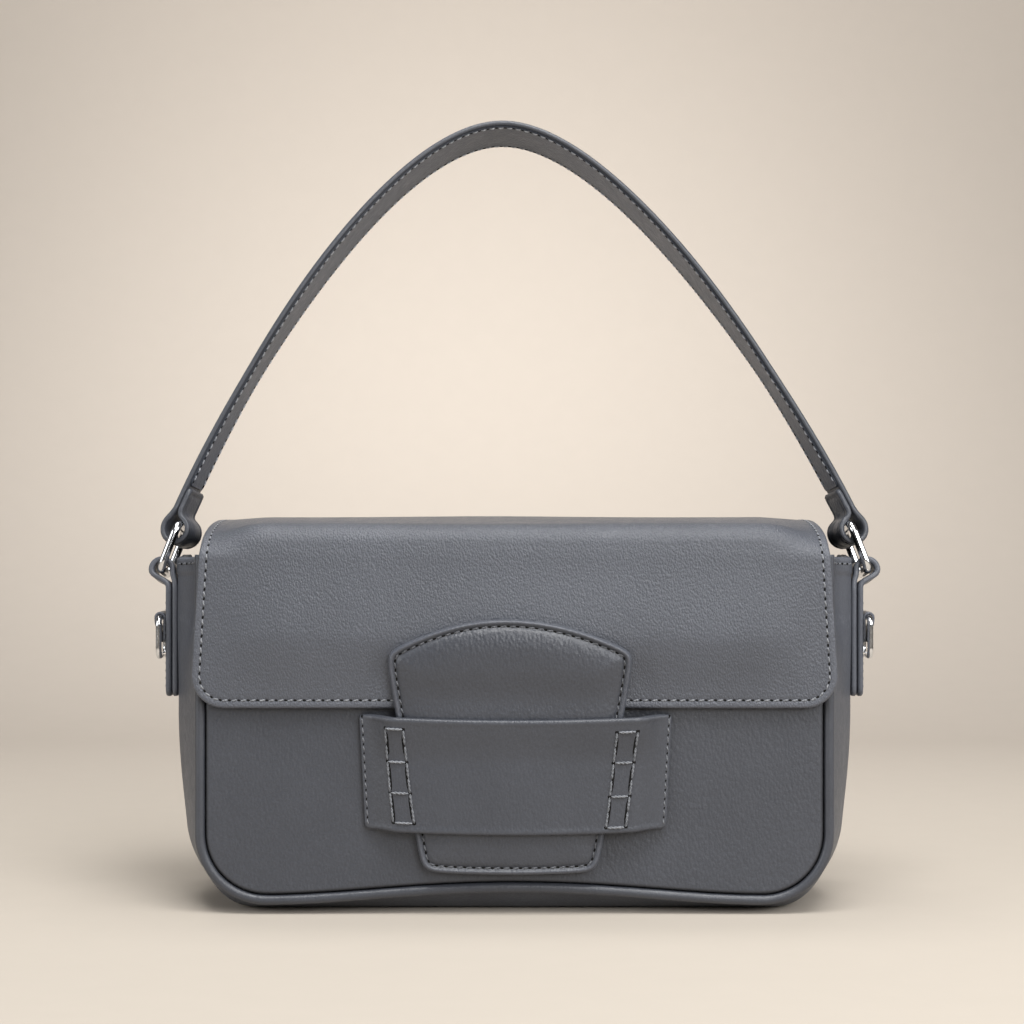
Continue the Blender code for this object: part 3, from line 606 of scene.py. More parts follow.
def thread_finish(name, colour):
    """Waxed thread: fine slanting twist, a soft shine and a little change from stitch to stitch."""
    made, tree, place = finish_tree(name)
    twist = waves(tree, place, 420.0, "DIAGONAL", 1.5)
    wax = ramp(tree, noise(tree, place, 500.0, 2.0), 0.3, 0.7, 0.8, 1.15)
    both = combined(tree, ramp(tree, twist, 0.0, 1.0, 0.72, 1.15), wax)
    finished(tree, Base_Color=shaded(tree, colour, both), Roughness=0.42,
             Normal=raised(tree, twist, 0.5, 0.0002))
    return made


def hole_shade_finish(name):
    """Painted shade for an awl hole: a near-black mark, barely lit, varied a little by noise."""
    made, tree, place = finish_tree(name)
    finished(tree, Base_Color=ramp(tree, noise(tree, place, 700.0, 2.0), 0.3, 0.7, 0.006, 0.014),
             Roughness=0.9, Specular_IOR_Level=0.1)
    return made


def chrome_finish(name, colour, rough=0.10):
    """Polished plated metal: bright, with hairline scratches that only break its reflections."""
    made, tree, place = finish_tree(name)
    hairs = node(tree, "ShaderNodeMapping", Vector=place, Scale=(1.0, 1.0, 14.0)).outputs[0]
    smear = noise(tree, place, 120.0, 3.0)
    finished(tree, Base_Color=shaded(tree, colour, ramp(tree, smear, 0.3, 0.7, 0.95, 1.02)), Metallic=1.0,
             Roughness=ramp(tree, smear, 0.35, 0.7, rough, rough + 0.10),
             Normal=raised(tree, noise(tree, hairs, 900.0, 3.0, 0.7), 0.02, 0.0001))
    return made


def board_finish(name, colour):
    """Grey-brown fibre board, with flecks and a dull matt face."""
    made, tree, place = finish_tree(name)
    fleck = ramp(tree, noise(tree, place, 600.0, 4.0), 0.3, 0.7, 0.8, 1.15)
    finished(tree, Base_Color=shaded(tree, colour, fleck), Roughness=0.9)
    return made


# Reliefs

def turned(edge, radius):
    """A rounded edge: a quarter circle of the given radius that falls away at the edge."""
    e = np.minimum(edge, radius)
    return -(radius - np.sqrt(np.maximum(radius ** 2 - (radius - e) ** 2, 0.0)))


def seam_relief(radius, stitch, groove=0.22 * MM, bead=0.12 * MM):
    """A turned edge, a slight swell outside the stitching and a soft groove that the thread pulls in."""
    def relief(edge, a, b):
        swell = bead * bell(edge, 0.45 * stitch, 0.35 * stitch)
        return turned(edge, radius) + swell - groove * bell(edge, stitch, 0.55 * MM)
    return relief


def plain_relief(radius):
    """A turned edge and nothing else."""
    return lambda edge, a, b: turned(edge, radius)


# Panels, piping and gusset

def u_line(half, corner, low, arch, top, sides=90, turns=30, base=110):
    """Down the left side, along the bottom and up the right side. The corners are quarter circles, and
    the bottom is low + arch * (1 - (x / flat)^2)^2."""
    turn, flat = low + corner, half - corner
    side = np.stack([np.full(sides, -half), np.linspace(top, turn, sides, endpoint=False)], 1)
    bend = arc((-flat, turn), corner, np.pi, 1.5 * np.pi, turns + 1)
    x = np.linspace(-flat, flat, base + 1)[1:-1]
    bottom = np.stack([x, low + arch * (1 - (x / flat) ** 2) ** 2], 1)
    right = (np.concatenate([side, bend]) * [-1, 1])[::-1]
    return np.concatenate([side, bend, bottom, right])


def seam_line(out, top, **counts):
    """The panel's cut edge, moved out by a distance."""
    return u_line(PANEL_HALF + out, PANEL_CORNER + out, SEAM_LOW - out, SEAM_ARCH, top, **counts)


def panel_sides(drop=0.0):
    """A panel's pattern as its lower and upper sides, which meet at half its height. The top edge falls
    to the gusset's hem at both ends."""
    height = (SEAM_LOW + PANEL_TOP) / 2
    u = seam_line(0.0, PANEL_TOP)
    lower = u[u[:, 1] <= height]
    lower = np.concatenate([[[-PANEL_HALF, height]], lower, [[PANEL_HALF, height]]])
    x = np.linspace(-PANEL_HALF, PANEL_HALF, 161)
    fall = ease((np.abs(x) - PANEL_FALL_FROM) / PANEL_FALL)
    edge = np.stack([x, mix(PANEL_SIGHT_TOP, PANEL_END_TOP, fall) - drop], 1)
    upper = np.concatenate([[[-PANEL_HALF, height]], edge, [[PANEL_HALF, height]]])
    return lower, upper


def panel_lean(b):
    """How far a panel's top leans in under the flap."""
    return PANEL_LEAN * ease((b - PANEL_LEAN_FROM) / (14 * MM))


def make_panels(looks):
    """Each panel is its pattern set upright at the bag's face, less the lean of its top and a shallow
    hollow, the product of two sines that fades at its edges. Its lining is the same pattern, further in."""
    mid = (SEAM_LOW + PANEL_TOP) / 2
    spine = [(-60 * MM, mid), (60 * MM, mid)]
    for name, lining, side in (("front_panel", "lining_front", -1), ("back_panel", "lining_back", 1)):
        def bend(a, b):
            hollow = 0.35 * MM * np.sin(a * 31.0 + 1.0) * np.sin(b * 43.0 + 0.6) + 0.4 * MM
            slack = hollow * ease((PANEL_HALF - np.abs(a)) / (25 * MM)) * ease((b - 12 * MM) / (22 * MM))
            return np.stack([-side * a, side * (FACE - slack - panel_lean(b)), b], -1)

        def inside(a, b):
            wall = FACE - LEATHER - GAP - PANEL_SLACK - panel_lean(b)
            return np.stack([-side * a, side * wall, b], -1)
        seat(cut_piece(name + "_skin", *panel_sides(), spine, bend, plain_relief(1.5 * MM), LEATHER,
                       looks["leather"], step=2.4 * MM), "bag", name)
        seat(cut_piece(lining + "_cloth", *panel_sides(2 * MM), spine, inside, plain_relief(0.3 * MM),
                       LINING, looks["cloth"], step=4 * MM, insets=THIN_INSETS), "bag", lining)


def make_pocket(looks):
    """The pocket's pattern set against the back lining, with its mouth standing off by a parabola across
    its width, a doubled hem and three rows of stitches."""
    low, top, half, corner = 50 * MM, 118 * MM, 75 * MM, 8 * MM
    mid = (low + top) / 2
    lower = rounded([(-half, mid), (-half, low), (half, low), (half, mid)], (corner, corner))
    upper = rounded([(-half, mid), (-half, top), (half, top), (half, mid)], (1 * MM, 1 * MM))
    wall = FACE - LEATHER - 2 * GAP - LINING - PANEL_SLACK

    def bend(a, b):
        mouth = 2.2 * MM * ease((b - 0.6 * (low + top)) / (30 * MM)) * (1 - (a / half) ** 2)
        return np.stack([a, wall - LINING - np.maximum(mouth, 0.0), b], -1)

    def relief(edge, a, b):
        hem = 0.35 * MM * ease((b - (top - 12 * MM)) / (1.0 * MM))
        return turned(edge, 0.3 * MM) + hem * ease(edge / (0.6 * MM))
    seat(cut_piece("slip_pocket_cloth", lower, upper, [(-50 * MM, mid), (50 * MM, mid)], bend, relief,
                   LINING, looks["cloth"], step=2 * MM, insets=THIN_INSETS), "bag", "slip_pocket")
    rows = [sewn_line(bend, [(-half + 3 * MM, z), (half - 3 * MM, z)], 0.35 * MM)
            for z in (top - 3 * MM, top - 10 * MM)]
    border = rounded([(-half + 2 * MM, top - 14 * MM), (-half + 2 * MM, low + 2 * MM),
                      (half - 2 * MM, low + 2 * MM), (half - 2 * MM, top - 14 * MM)], (6 * MM, 6 * MM))
    rows.append(sewn_line(bend, border, 0.0))
    seat(sew("pocket_stitches", rows, 3.0 * MM, 2.1 * MM, 0.22 * MM, looks["thread"], lift=0.1 * MM),
         "bag", slot="slip_pocket")


def make_piping(looks):
    """The corded seams: a round cord whose thickness wavers a little all along it."""
    line = seam_line(PIPING_RADIUS + GAP, GUSSET_TOP - 0.5 * MM, sides=130, turns=46, base=170)
    out = -left_of(line)
    run = lengths(line)
    pucker = 1.0 + 0.012 * np.sin(run / (1.9 * MM)) + 0.010 * np.sin(run / (5.3 * MM) + 1.0)
    for name, side in (("front_piping", -1), ("back_piping", 1)):
        path = np.stack([line[:, 0], np.full(len(line), side * PIPING_DEPTH), line[:, 1]], 1)
        across = np.stack([out[:, 0], np.zeros(len(out)), out[:, 1]], 1)
        depth = np.tile([0.0, side * 1.0, 0.0], (len(out), 1))
        seat(tube(name + "_cord", path, across, depth, PIPING_RADIUS, looks["piping"], pucker), "bag", name)


def gusset_surface(rows_shape, v):
    """The gusset as a grid: each row runs across from seam to seam, mixed between the seam line at its
    edges and the ridge line in its middle by the bulge shares."""
    sides, turns, base = rows_shape
    seam = seam_line(GUSSET_SEAM_OUT, GUSSET_TOP, sides=sides, turns=turns, base=base)
    ridge = u_line(GUSSET_HALF, GUSSET_CORNER, 0.0, 0.0, GUSSET_TOP, sides=sides, turns=turns, base=base)
    ridge[:, 0] *= 1 - GUSSET_DRAWN_IN * ease((GUSSET_DRAWN_FROM - ridge[:, 1]) / (62 * MM))
    index = np.arange(len(seam))
    from_end = np.minimum(index, len(seam) - 1 - index)
    down = ease((from_end - sides - 0.25 * turns) / (0.75 * turns))[:, None]
    high = ease((ridge[:, 1] - GUSSET_TOP / 2) / (GUSSET_TOP / 2))[:, None]
    share = lambda values: table(v, DEPTH_SHARES, values)
    bulge = mix(mix(share(SIDE_BULGE_SHARES), share(TOP_BULGE_SHARES), high), share(BASE_BULGE_SHARES), down)
    bulge = np.clip(bulge, 0.0, 1.0)
    flat = seam[:, None] + (ridge - seam)[:, None] * bulge[..., None]
    x, z = flat[..., 0], flat[..., 1]
    dip = HEM_DIP * np.clip(share(HEM_DIP_SHARES), 0, 1) / (GUSSET_TOP - GUSSET_CORNER)
    z = np.where(z > GUSSET_CORNER, mix(z, GUSSET_CORNER, dip), z)
    y = np.broadcast_to(v * GUSSET_DEPTH, x.shape)
    return np.stack([x, y, z], -1), down


def grid_normals(points):
    """Outward normals of the gusset's grid, from the slopes along its rows and columns."""
    n = unit(np.cross(np.gradient(points, axis=0), np.gradient(points, axis=1)))
    centre = np.array([0.0, 0.0, 70 * MM])
    middle = points.shape[1] // 2
    sign = np.sign(((points - centre) * n)[:, middle].sum(-1))
    return n * sign[:, None, None]


def make_gusset(looks):
    """The gusset's surface moved along its normal: out by its hem and a slow sway, in by the stitched
    groove and a soft dent. Its back lies one leather further in, and its lining behind that."""
    across = np.linspace(-1, 1, 73)
    v = np.sin(across * np.pi / 2) * 0.35 + across * 0.65
    middle = len(v) // 2
    points, down = gusset_surface((120, 40, 120), v)
    n = grid_normals(points)
    run = lengths(points[:, middle])
    run = np.minimum(run, run[-1] - run)[:, None]
    hem = HEM_RISE * (1 - ease((run - HEM_WIDTH) / (0.8 * MM)))
    groove = 0.25 * MM * bell(run, HEM_STITCH, 0.5 * MM)
    dent = 0.9 * MM * bell(run, 20 * MM, 12 * MM) * bell(np.abs(v), 0.55, 0.22)[None]
    edge_in = -0.9 * MM * (1 - ease(run / (1.0 * MM)))
    near = ease(run / (8 * MM)) * ease((1 - np.abs(v[None])) / 0.15)
    sway = 0.25 * MM * np.sin(run * 90.0 + 2 * v[None]) * near
    lift = (hem - groove) * ease((1 - np.abs(v[None])) / 0.04) + edge_in + (sway - dent) * (1 - down)
    outer = points + n * lift[..., None]
    outer[..., 2] = np.maximum(outer[..., 2], 0.0)
    rim = np.minimum(np.broadcast_to(run, outer.shape[:2]) / RIM_REACH, 1.0)
    seat(grid_skin("gusset_skin", outer, points - n * LEATHER, looks["gusset"], rim), "bag", "gusset")
    deep = (LEATHER + GAP + down * (BOARD + GAP))[..., None]
    cloth = [(points - n * depth)[::2, ::2] for depth in (deep, deep + LINING)]
    seat(grid_skin("lining_gusset_cloth", *cloth, looks["cloth"]), "bag", "lining_gusset")
    rows = []
    for end in (slice(None), slice(None, None, -1)):
        k = int(np.searchsorted(lengths(points[end][:12, middle]), HEM_STITCH))
        inside = np.abs(v) < 0.985
        line, up = outer[end][k][inside], n[end][k][inside]
        clear = np.abs(line[:, 1]) > TAB_HALF_WIDTH + 1.2 * MM
        rows += [(line[half & clear], up[half & clear]) for half in (line[:, 1] < 0, line[:, 1] > 0)]
    stitches("gusset_hem", rows, looks, "bag", "gusset")


# Seating and stitching

def seat(made, ride, *nodes, slot=None):
    """Let a piece ride on a body, or have its place baked in when two are given, and hide the nodes it
    stands in place of. The slot is not used.
    """
    if isinstance(ride, str):
        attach(made, ride)
    else:
        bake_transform(made)
    if nodes:
        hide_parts(*nodes)


def stitches(name, runs, looks, ride, slot, pitch=None, thread="dark_thread", slant=0.2):
    """The thread along sewn lines, with near-black marks at its awl holes that paint the shade in them. Each
    rides as the leather it is sewn to does.
    """
    size = bpy.context.scene.flap_bag_thread
    pitch = pitch or size.pitch
    seat(sew(name + "_stitches", runs, pitch, size.length_share * pitch, size.radius, looks[thread],
             lift=0.45 * size.radius, slant=slant), ride, slot=slot)
    # Flattened near-black marks at the stitch ends: painted shade of the awl holes.
    seat(sew(name + "_holes", runs, pitch, 0.40 * pitch, size.hole, looks["hole"], lift=0.06 * MM,
             slant=-1.2 * slant, offset=0.0, flat=0.4), ride, slot=slot)


# Flap

def flap_line():
    """The flap from its low front edge up, over the top and down the back, as (y, z). The bends are
    quarter circles and the top is crowned by crown * (1 - (y / flat)^2)."""
    flat = FLAP_FACE - FLAP_BEND
    up = np.stack([np.full(200, -FLAP_FACE), np.linspace(FLAP_LOW, FLAP_HINGE, 200)], 1)
    front = arc((-flat, FLAP_HINGE), FLAP_BEND, np.pi, np.pi / 2, 60)
    y = np.linspace(-flat, flat, 240)
    top = np.stack([y, FLAP_HINGE + FLAP_BEND + FLAP_CROWN * (1 - (y / flat) ** 2)], 1)
    back = arc((flat, FLAP_HINGE), FLAP_BEND, np.pi / 2, 0, 60)
    down = np.stack([np.full(120, FLAP_FACE), np.linspace(FLAP_HINGE, ROOT_LOW, 120)], 1)
    joined = np.concatenate([up, front[1:], top[1:], back[1:], down[1:]])
    return spaced(joined, 3000)


FLAP_LINE = flap_line()
FLAP_RUN = lengths(FLAP_LINE)
FLAP_TOTAL = FLAP_RUN[-1]
# The flap's two lengths meet where its top passes over this line
SEAM_MISS = np.abs(FLAP_LINE[:, 0] - SEAM_BACK) + 10 * (FLAP_LINE[:, 1] < FLAP_HINGE)
FLAP_SEAM = float(FLAP_RUN[np.argmin(SEAM_MISS)])
FLAP_CREASE = FLAP_HINGE - FLAP_LOW


def flap_half(b):
    """Half the flap's width at a distance b up from its low edge."""
    y = np.interp(b, FLAP_RUN, FLAP_LINE[:, 0])
    z = np.interp(b, FLAP_RUN, FLAP_LINE[:, 1])
    up = (z - FLAP_LOW - FLAP_CORNER) / (FLAP_HINGE - FLAP_LOW - FLAP_CORNER)
    front = mix(FLAP_HALF_LOW, FLAP_HALF_FRONT, np.clip(up, 0, 1))
    top = np.where(y > 0, mix(FLAP_HALF_CREST, FLAP_HALF_BACK, y / FLAP_FACE),
                   mix(FLAP_HALF_CREST, FLAP_HALF_FRONT, -y / FLAP_FACE))
    return np.where((z < FLAP_HINGE) & (y < 0), front, top)


def belly(a, b):
    """How far the flap's front swells off the flat: nothing at its edges and crest, most half way up."""
    up = ease(b / (30 * MM)) * (1 - ease((b - 24 * MM) / (40 * MM)))
    return FLAP_BELLY * up * ease((FLAP_HALF_LOW - np.abs(a)) / (36 * MM))


def arched_line():
    """The flap's line where nothing holds it up, at its side edges: half an ellipse over the top, with
    its points matched to the flap's own line by their share of the way over."""
    rise = CREST_ARCH_TOP - CREST_ARCH_FROM
    t = np.linspace(0, np.pi, 800)
    over = np.stack([-FLAP_FACE * np.cos(t), CREST_ARCH_FROM + rise * np.sin(t)], 1)
    top = (FLAP_LINE[:, 1] > CREST_ARCH_FROM)
    first, last = FLAP_RUN[top][0], FLAP_RUN[top][-1]
    made = FLAP_LINE.copy()
    made[top] = along(over, (FLAP_RUN[top] - first) / (last - first) * lengths(over)[-1])
    return made


def arch_share(a, b):
    """How far the flap takes the arched line: a little in its middle and wholly at its side edges."""
    return mix(CREST_ARCH_SHARE, 1.0, 1 - ease((flap_half(b) - np.abs(a)) / (24 * MM)))


def pinch(a, b):
    """The hollow that the tongue pulls into the flap beside its edges, deeper on the left."""
    left = 1.0 * MM * bell(a, -51.5 * MM, 4.5 * MM) * bell(b, 12 * MM, 9 * MM)
    return left + 0.5 * MM * bell(a, 48.5 * MM, 5 * MM) * bell(b, 10 * MM, 9 * MM)


def flap_bend(depth=0.0):
    """Lays the flap's flat pattern over the bag, a depth below its outer face."""
    arched = arched_line()
    n, n_arched = left_of(FLAP_LINE), left_of(arched)
    line, low_line = FLAP_LINE - n * depth, arched - n_arched * depth

    def bend(a, b):
        at = lambda values: np.interp(b, FLAP_RUN, values)
        share = arch_share(a, b)
        y, z, ny, nz = (mix(at(flat[:, k]), at(arch[:, k]), share)
                        for flat, arch in ((line, low_line), (n, n_arched)) for k in (0, 1))
        inside = lambda half: ease((half - np.abs(a)) / (30 * MM))
        front = ease((FLAP_CREASE - b) / (30 * MM)) * ease(b / (25 * MM)) * inside(FLAP_HALF_LOW)
        top = ease((b - FLAP_CREASE - 4 * MM) / (16 * MM)) * inside(FLAP_HALF_CREST)
        soft = 0.25 * MM * np.sin(a * 37.0 + 0.8) * np.sin(b * 52.0 + 0.4) * front
        soft = soft + 0.35 * MM * np.sin(a * 41.0 + 2.0) * np.sin(b * 60.0) * top
        soft = soft + belly(a, b) - pinch(a, b)
        return np.stack([a, y + ny * soft, z + nz * soft], -1)
    return bend


def back_bend(depth=0.0):
    """The same surface for the back length, its pattern measured up from the root's low edge."""
    over = flap_bend(depth)
    return lambda a, b: over(-a, FLAP_TOTAL - b)


def flap_sides(inset, low, high, corner, half_at):
    """A length of flap as the lower and upper sides of its pattern, between two heights."""
    mid = (low + high) / 2
    b = np.linspace(low + inset + corner, mid, 60)
    edge = half_at(b) - inset
    right_low = np.stack([edge, b], 1)[::-1]
    half = edge[0]
    turn = arc((half - corner, low + inset + corner), corner, 0, -np.pi / 2, 20)
    right_lower = np.concatenate([right_low, turn[1:]])
    lower = np.concatenate([right_lower * [-1, 1], right_lower[::-1]])
    b = np.linspace(mid, high, 60)
    right_up = np.stack([half_at(b) - inset, b], 1)
    upper = np.concatenate([right_up * [-1, 1], right_up[::-1]])
    return lower, upper


FLAP_BLEND = ("flap_top", "flap_front", (0.0, -45 * MM, 148 * MM), (0.0, -46.9 * MM, 130 * MM))
BACK_BLEND = ("bag", "flap_top", (0.0, 46.9 * MM, 135 * MM), (0.0, 36 * MM, 152.5 * MM))


def free_line(lower, upper):
    """The free edge of a length of flap: up one side and down the other, leaving out the seam."""
    count = len(upper) // 2
    return np.concatenate([upper[:count][::-1], lower, upper[count:][::-1]])


def make_flap(looks):
    """The flap's skin, cloth and thread, first the front length and then the back one."""
    relief = seam_relief(bpy.context.scene.flap_bag_leather.edge_radius, FLAP_STITCH)
    back_total = FLAP_TOTAL - FLAP_SEAM
    back_half = lambda b: flap_half(FLAP_TOTAL - b)
    for names, bend, total, half_at, spine, ride, nodes in (
            (("flap_skin", "flap_lining_cloth"), flap_bend, FLAP_SEAM, flap_half, 70 * MM, FLAP_BLEND,
             (("flap_top", "flap_front"), ("flap_top_lining", "flap_front_lining"))),
            (("flap_back_skin", "flap_back_cloth"), back_bend, back_total, back_half, 85 * MM, BACK_BLEND,
             (("flap_root",), ()))):
        sides = flap_sides(0.0, 0.0, total, FLAP_CORNER, half_at)
        middle = [(-spine, total / 2), (spine, total / 2)]
        seat(cut_piece(names[0], *sides, middle, bend(), relief, LEATHER, looks["flap"],
                       free=free_line(*sides)), ride, *nodes[0])
        seat(cut_piece(names[1], *flap_sides(2.0 * MM, 0.0, total, FLAP_CORNER - 2 * MM, half_at), middle,
                       bend(LEATHER + GAP), plain_relief(0.2 * MM), LINING, looks["suede"], step=2.2 * MM,
                       insets=THIN_INSETS), ride, *nodes[1], slot=None if nodes[1] else "flap_top_lining")
        runs = [sewn_line(bend(), free_line(*flap_sides(FLAP_STITCH, 0.0, total, FLAP_CORNER - FLAP_STITCH,
                                                        half_at)), -0.20 * MM)]
        if bend is flap_bend:
            stitches("flap", runs, looks, ride, "flap_front", thread="thread")
        else:
            runs.append(sewn_line(bend(), [(-104 * MM, 9.5 * MM), (104 * MM, 9.5 * MM)], 0.0))
            stitches("flap_back", runs, looks, ride, "flap_root")


# Tongue and band

def tongue_inner_depth(z):
    """How far out the tongue's back lies: before the flap, and tucked in under the band by an eased step."""
    return FLAP_FACE + GAP - TUCK_IN * ease((TUCK_FROM - z) / (TUCK_FROM - TUCK_TO))


def tongue_half(z):
    """Half the tongue's width at a height, from the table of its waist."""
    return table(z, np.array(TONGUE_HEIGHTS) * MM, np.array(TONGUE_HALVES) * MM)


def tongue_edges(end):
    """The tongue's left edge from its middle to an end, and its right edge back again."""
    z = np.linspace(TONGUE_MIDDLE, end, 80)
    left, right = (np.stack([TONGUE_SHIFT + side * tongue_half(z), z], 1) for side in (-1, 1))
    return left, right[::-1]


def tongue_sides(inset):
    """The tongue's pattern: waisted sides, a parabola across the top, and round corners."""
    left, right = tongue_edges(TONGUE_SHOULDER)
    x = np.linspace(left[-1, 0], right[0, 0], 200)[1:-1]
    share = np.where(x < TONGUE_APEX[0], (x - TONGUE_APEX[0]) / (left[-1, 0] - TONGUE_APEX[0]),
                     (x - TONGUE_APEX[0]) / (right[0, 0] - TONGUE_APEX[0]))
    arch = np.stack([x, mix(TONGUE_APEX[1], TONGUE_SHOULDER, share ** 2)], 1)
    upper = soften(np.concatenate([left, arch, right]), 2.7 * MM)
    left, right = tongue_edges(TONGUE_LOW + 1.2 * MM)
    u = np.linspace(-1, 1, 160)[1:-1]
    bottom = np.stack([mix(left[-1, 0], right[0, 0], (u + 1) / 2), TONGUE_LOW + 1.2 * MM * u ** 2], 1)
    lower = soften(np.concatenate([left, bottom, right]), 4.2 * MM)
    if inset:
        upper, lower = upper - left_of(upper) * inset, lower + left_of(lower) * inset
        upper, lower = spaced(upper, 400), spaced(lower, 400)
    return lower, upper


def soften(path, width):
    """A line with its corners rounded by averaging over a width, and its ends kept."""
    fine = spaced(path, max(300, int(lengths(path)[-1] / (0.25 * MM))))
    step = lengths(fine)[-1] / (len(fine) - 1)
    reach = int(3 * width / step)
    weight = np.exp(-0.5 * (np.arange(-reach, reach + 1) * step / width) ** 2)
    weight /= weight.sum()
    start, end = fine[0], fine[-1]
    before = 2 * start - fine[reach:0:-1]
    after = 2 * end - fine[-2:-reach - 2:-1]
    padded = np.concatenate([before, fine, after])
    return np.stack([np.convolve(padded[:, k], weight, "valid") for k in (0, 1)], 1)


def tongue_bend(out):
    """The tongue's pattern set upright, out by its depth at each height and by the flap's belly."""
    def bend(a, b):
        return np.stack([a, -(tongue_inner_depth(b) + belly(a, b - FLAP_LOW) + out), b], -1)
    return bend


def tongue_relief(edge, a, b):
    """A raised rolled border, the sewn groove inside it, and a soft pad that swells towards the middle."""
    border = 0.75 * MM * bell(edge, 1.15 * MM, 0.9 * MM)
    groove = 0.60 * MM * bell(edge, TONGUE_STITCH, 0.8 * MM)
    inward = np.maximum(edge - 2.6 * MM, 0.0)
    pad = 1.5 * MM * (1 - np.exp(-inward / (5 * MM)))
    full = 1.2 * MM * (1 - np.exp(-inward / (10 * MM))) * ease((b - 82 * MM) / (14 * MM))
    return turned(edge, 1.2 * MM) + border - groove + pad + full


def make_tongue(looks):
    """The tongue's pattern with its padded relief, its lining behind it, and a sewn line in the groove."""
    out = LINING + GAP + TONGUE_THICKNESS
    spine = [(TONGUE_SHIFT - 14 * MM, TONGUE_MIDDLE), (TONGUE_SHIFT + 14 * MM, TONGUE_MIDDLE)]
    skin = cut_piece("closure_tongue_skin", *tongue_sides(0.0), spine, tongue_bend(out), tongue_relief,
                     TONGUE_THICKNESS, looks["tongue"], step=1.3 * MM)
    seat(skin, "flap_front", "closure_tongue")
    seat(cut_piece("tongue_lining_skin", *tongue_sides(0.6 * MM), spine, tongue_bend(LINING),
                   plain_relief(0.2 * MM), LINING, looks["suede"], step=2.4 * MM, insets=THIN_INSETS),
         "flap_front", "tongue_lining")
    lower, upper = tongue_sides(TONGUE_STITCH)
    runs = [sewn_line(tongue_bend(out), np.concatenate([lower, upper[::-1][1:]]), -0.42 * MM)]
    stitches("tongue", runs, looks, "flap_front", "closure_tongue")


def band_rise(u):
    """How far the band has come off the panel, from 0 at its sewn ends to 1 over the tongue."""
    return ease((0.985 - np.abs(u)) / 0.215)


def band_bend(a, b):
    """The band's pattern: flat on the panel at its sewn ends, and between them out over the tongue by the
    eased rise and a parabola, its middle sagging by a parabola too."""
    share = (b - BAND_LOW) / (BAND_TOP - BAND_LOW)
    half = mix(BAND_HALF_LOW, BAND_HALF_TOP, share)
    u = np.clip((a - BAND_SHIFT) / half, -1, 1)
    rise = band_rise(u)
    z = b - BAND_SAG * rise * (1 - u * u)
    sewn = FACE + GAP
    over = tongue_inner_depth(z) + LINING + GAP + TONGUE_THICKNESS + 1.35 * MM * (1 - u * u) + 0.5 * MM
    return np.stack([a, -(mix(sewn, over, rise) + BAND_THICKNESS), z], -1)


def band_sides():
    """The band's pattern, a little narrower at its low edge, as its lower and upper sides."""
    mid, half = (BAND_TOP + BAND_LOW) / 2, (BAND_HALF_TOP + BAND_HALF_LOW) / 2
    ends = ((BAND_HALF_LOW, BAND_LOW, 2.0 * MM), (BAND_HALF_TOP, BAND_TOP, 1.4 * MM))
    return [rounded([(-half, mid), (-end, edge), (end, edge), (half, mid)], (turn, turn)) + [BAND_SHIFT, 0]
            for end, edge, turn in ends]


LADDERS = (
    # the left ladder's outer and inner corner points down the band, then the right one's
    ((-49.4, 72.2), (-42.6, 72.2), (-48.6, 59.4), (-41.3, 59.4),
     (-47.6, 47.5), (-40.0, 47.5), (-46.4, 36.1), (-38.4, 36.1)),
    ((47.1, 71.2), (39.1, 71.2), (45.6, 59.3), (37.8, 59.3),
     (44.0, 46.4), (36.4, 46.4), (42.5, 34.6), (34.9, 34.6)),
)


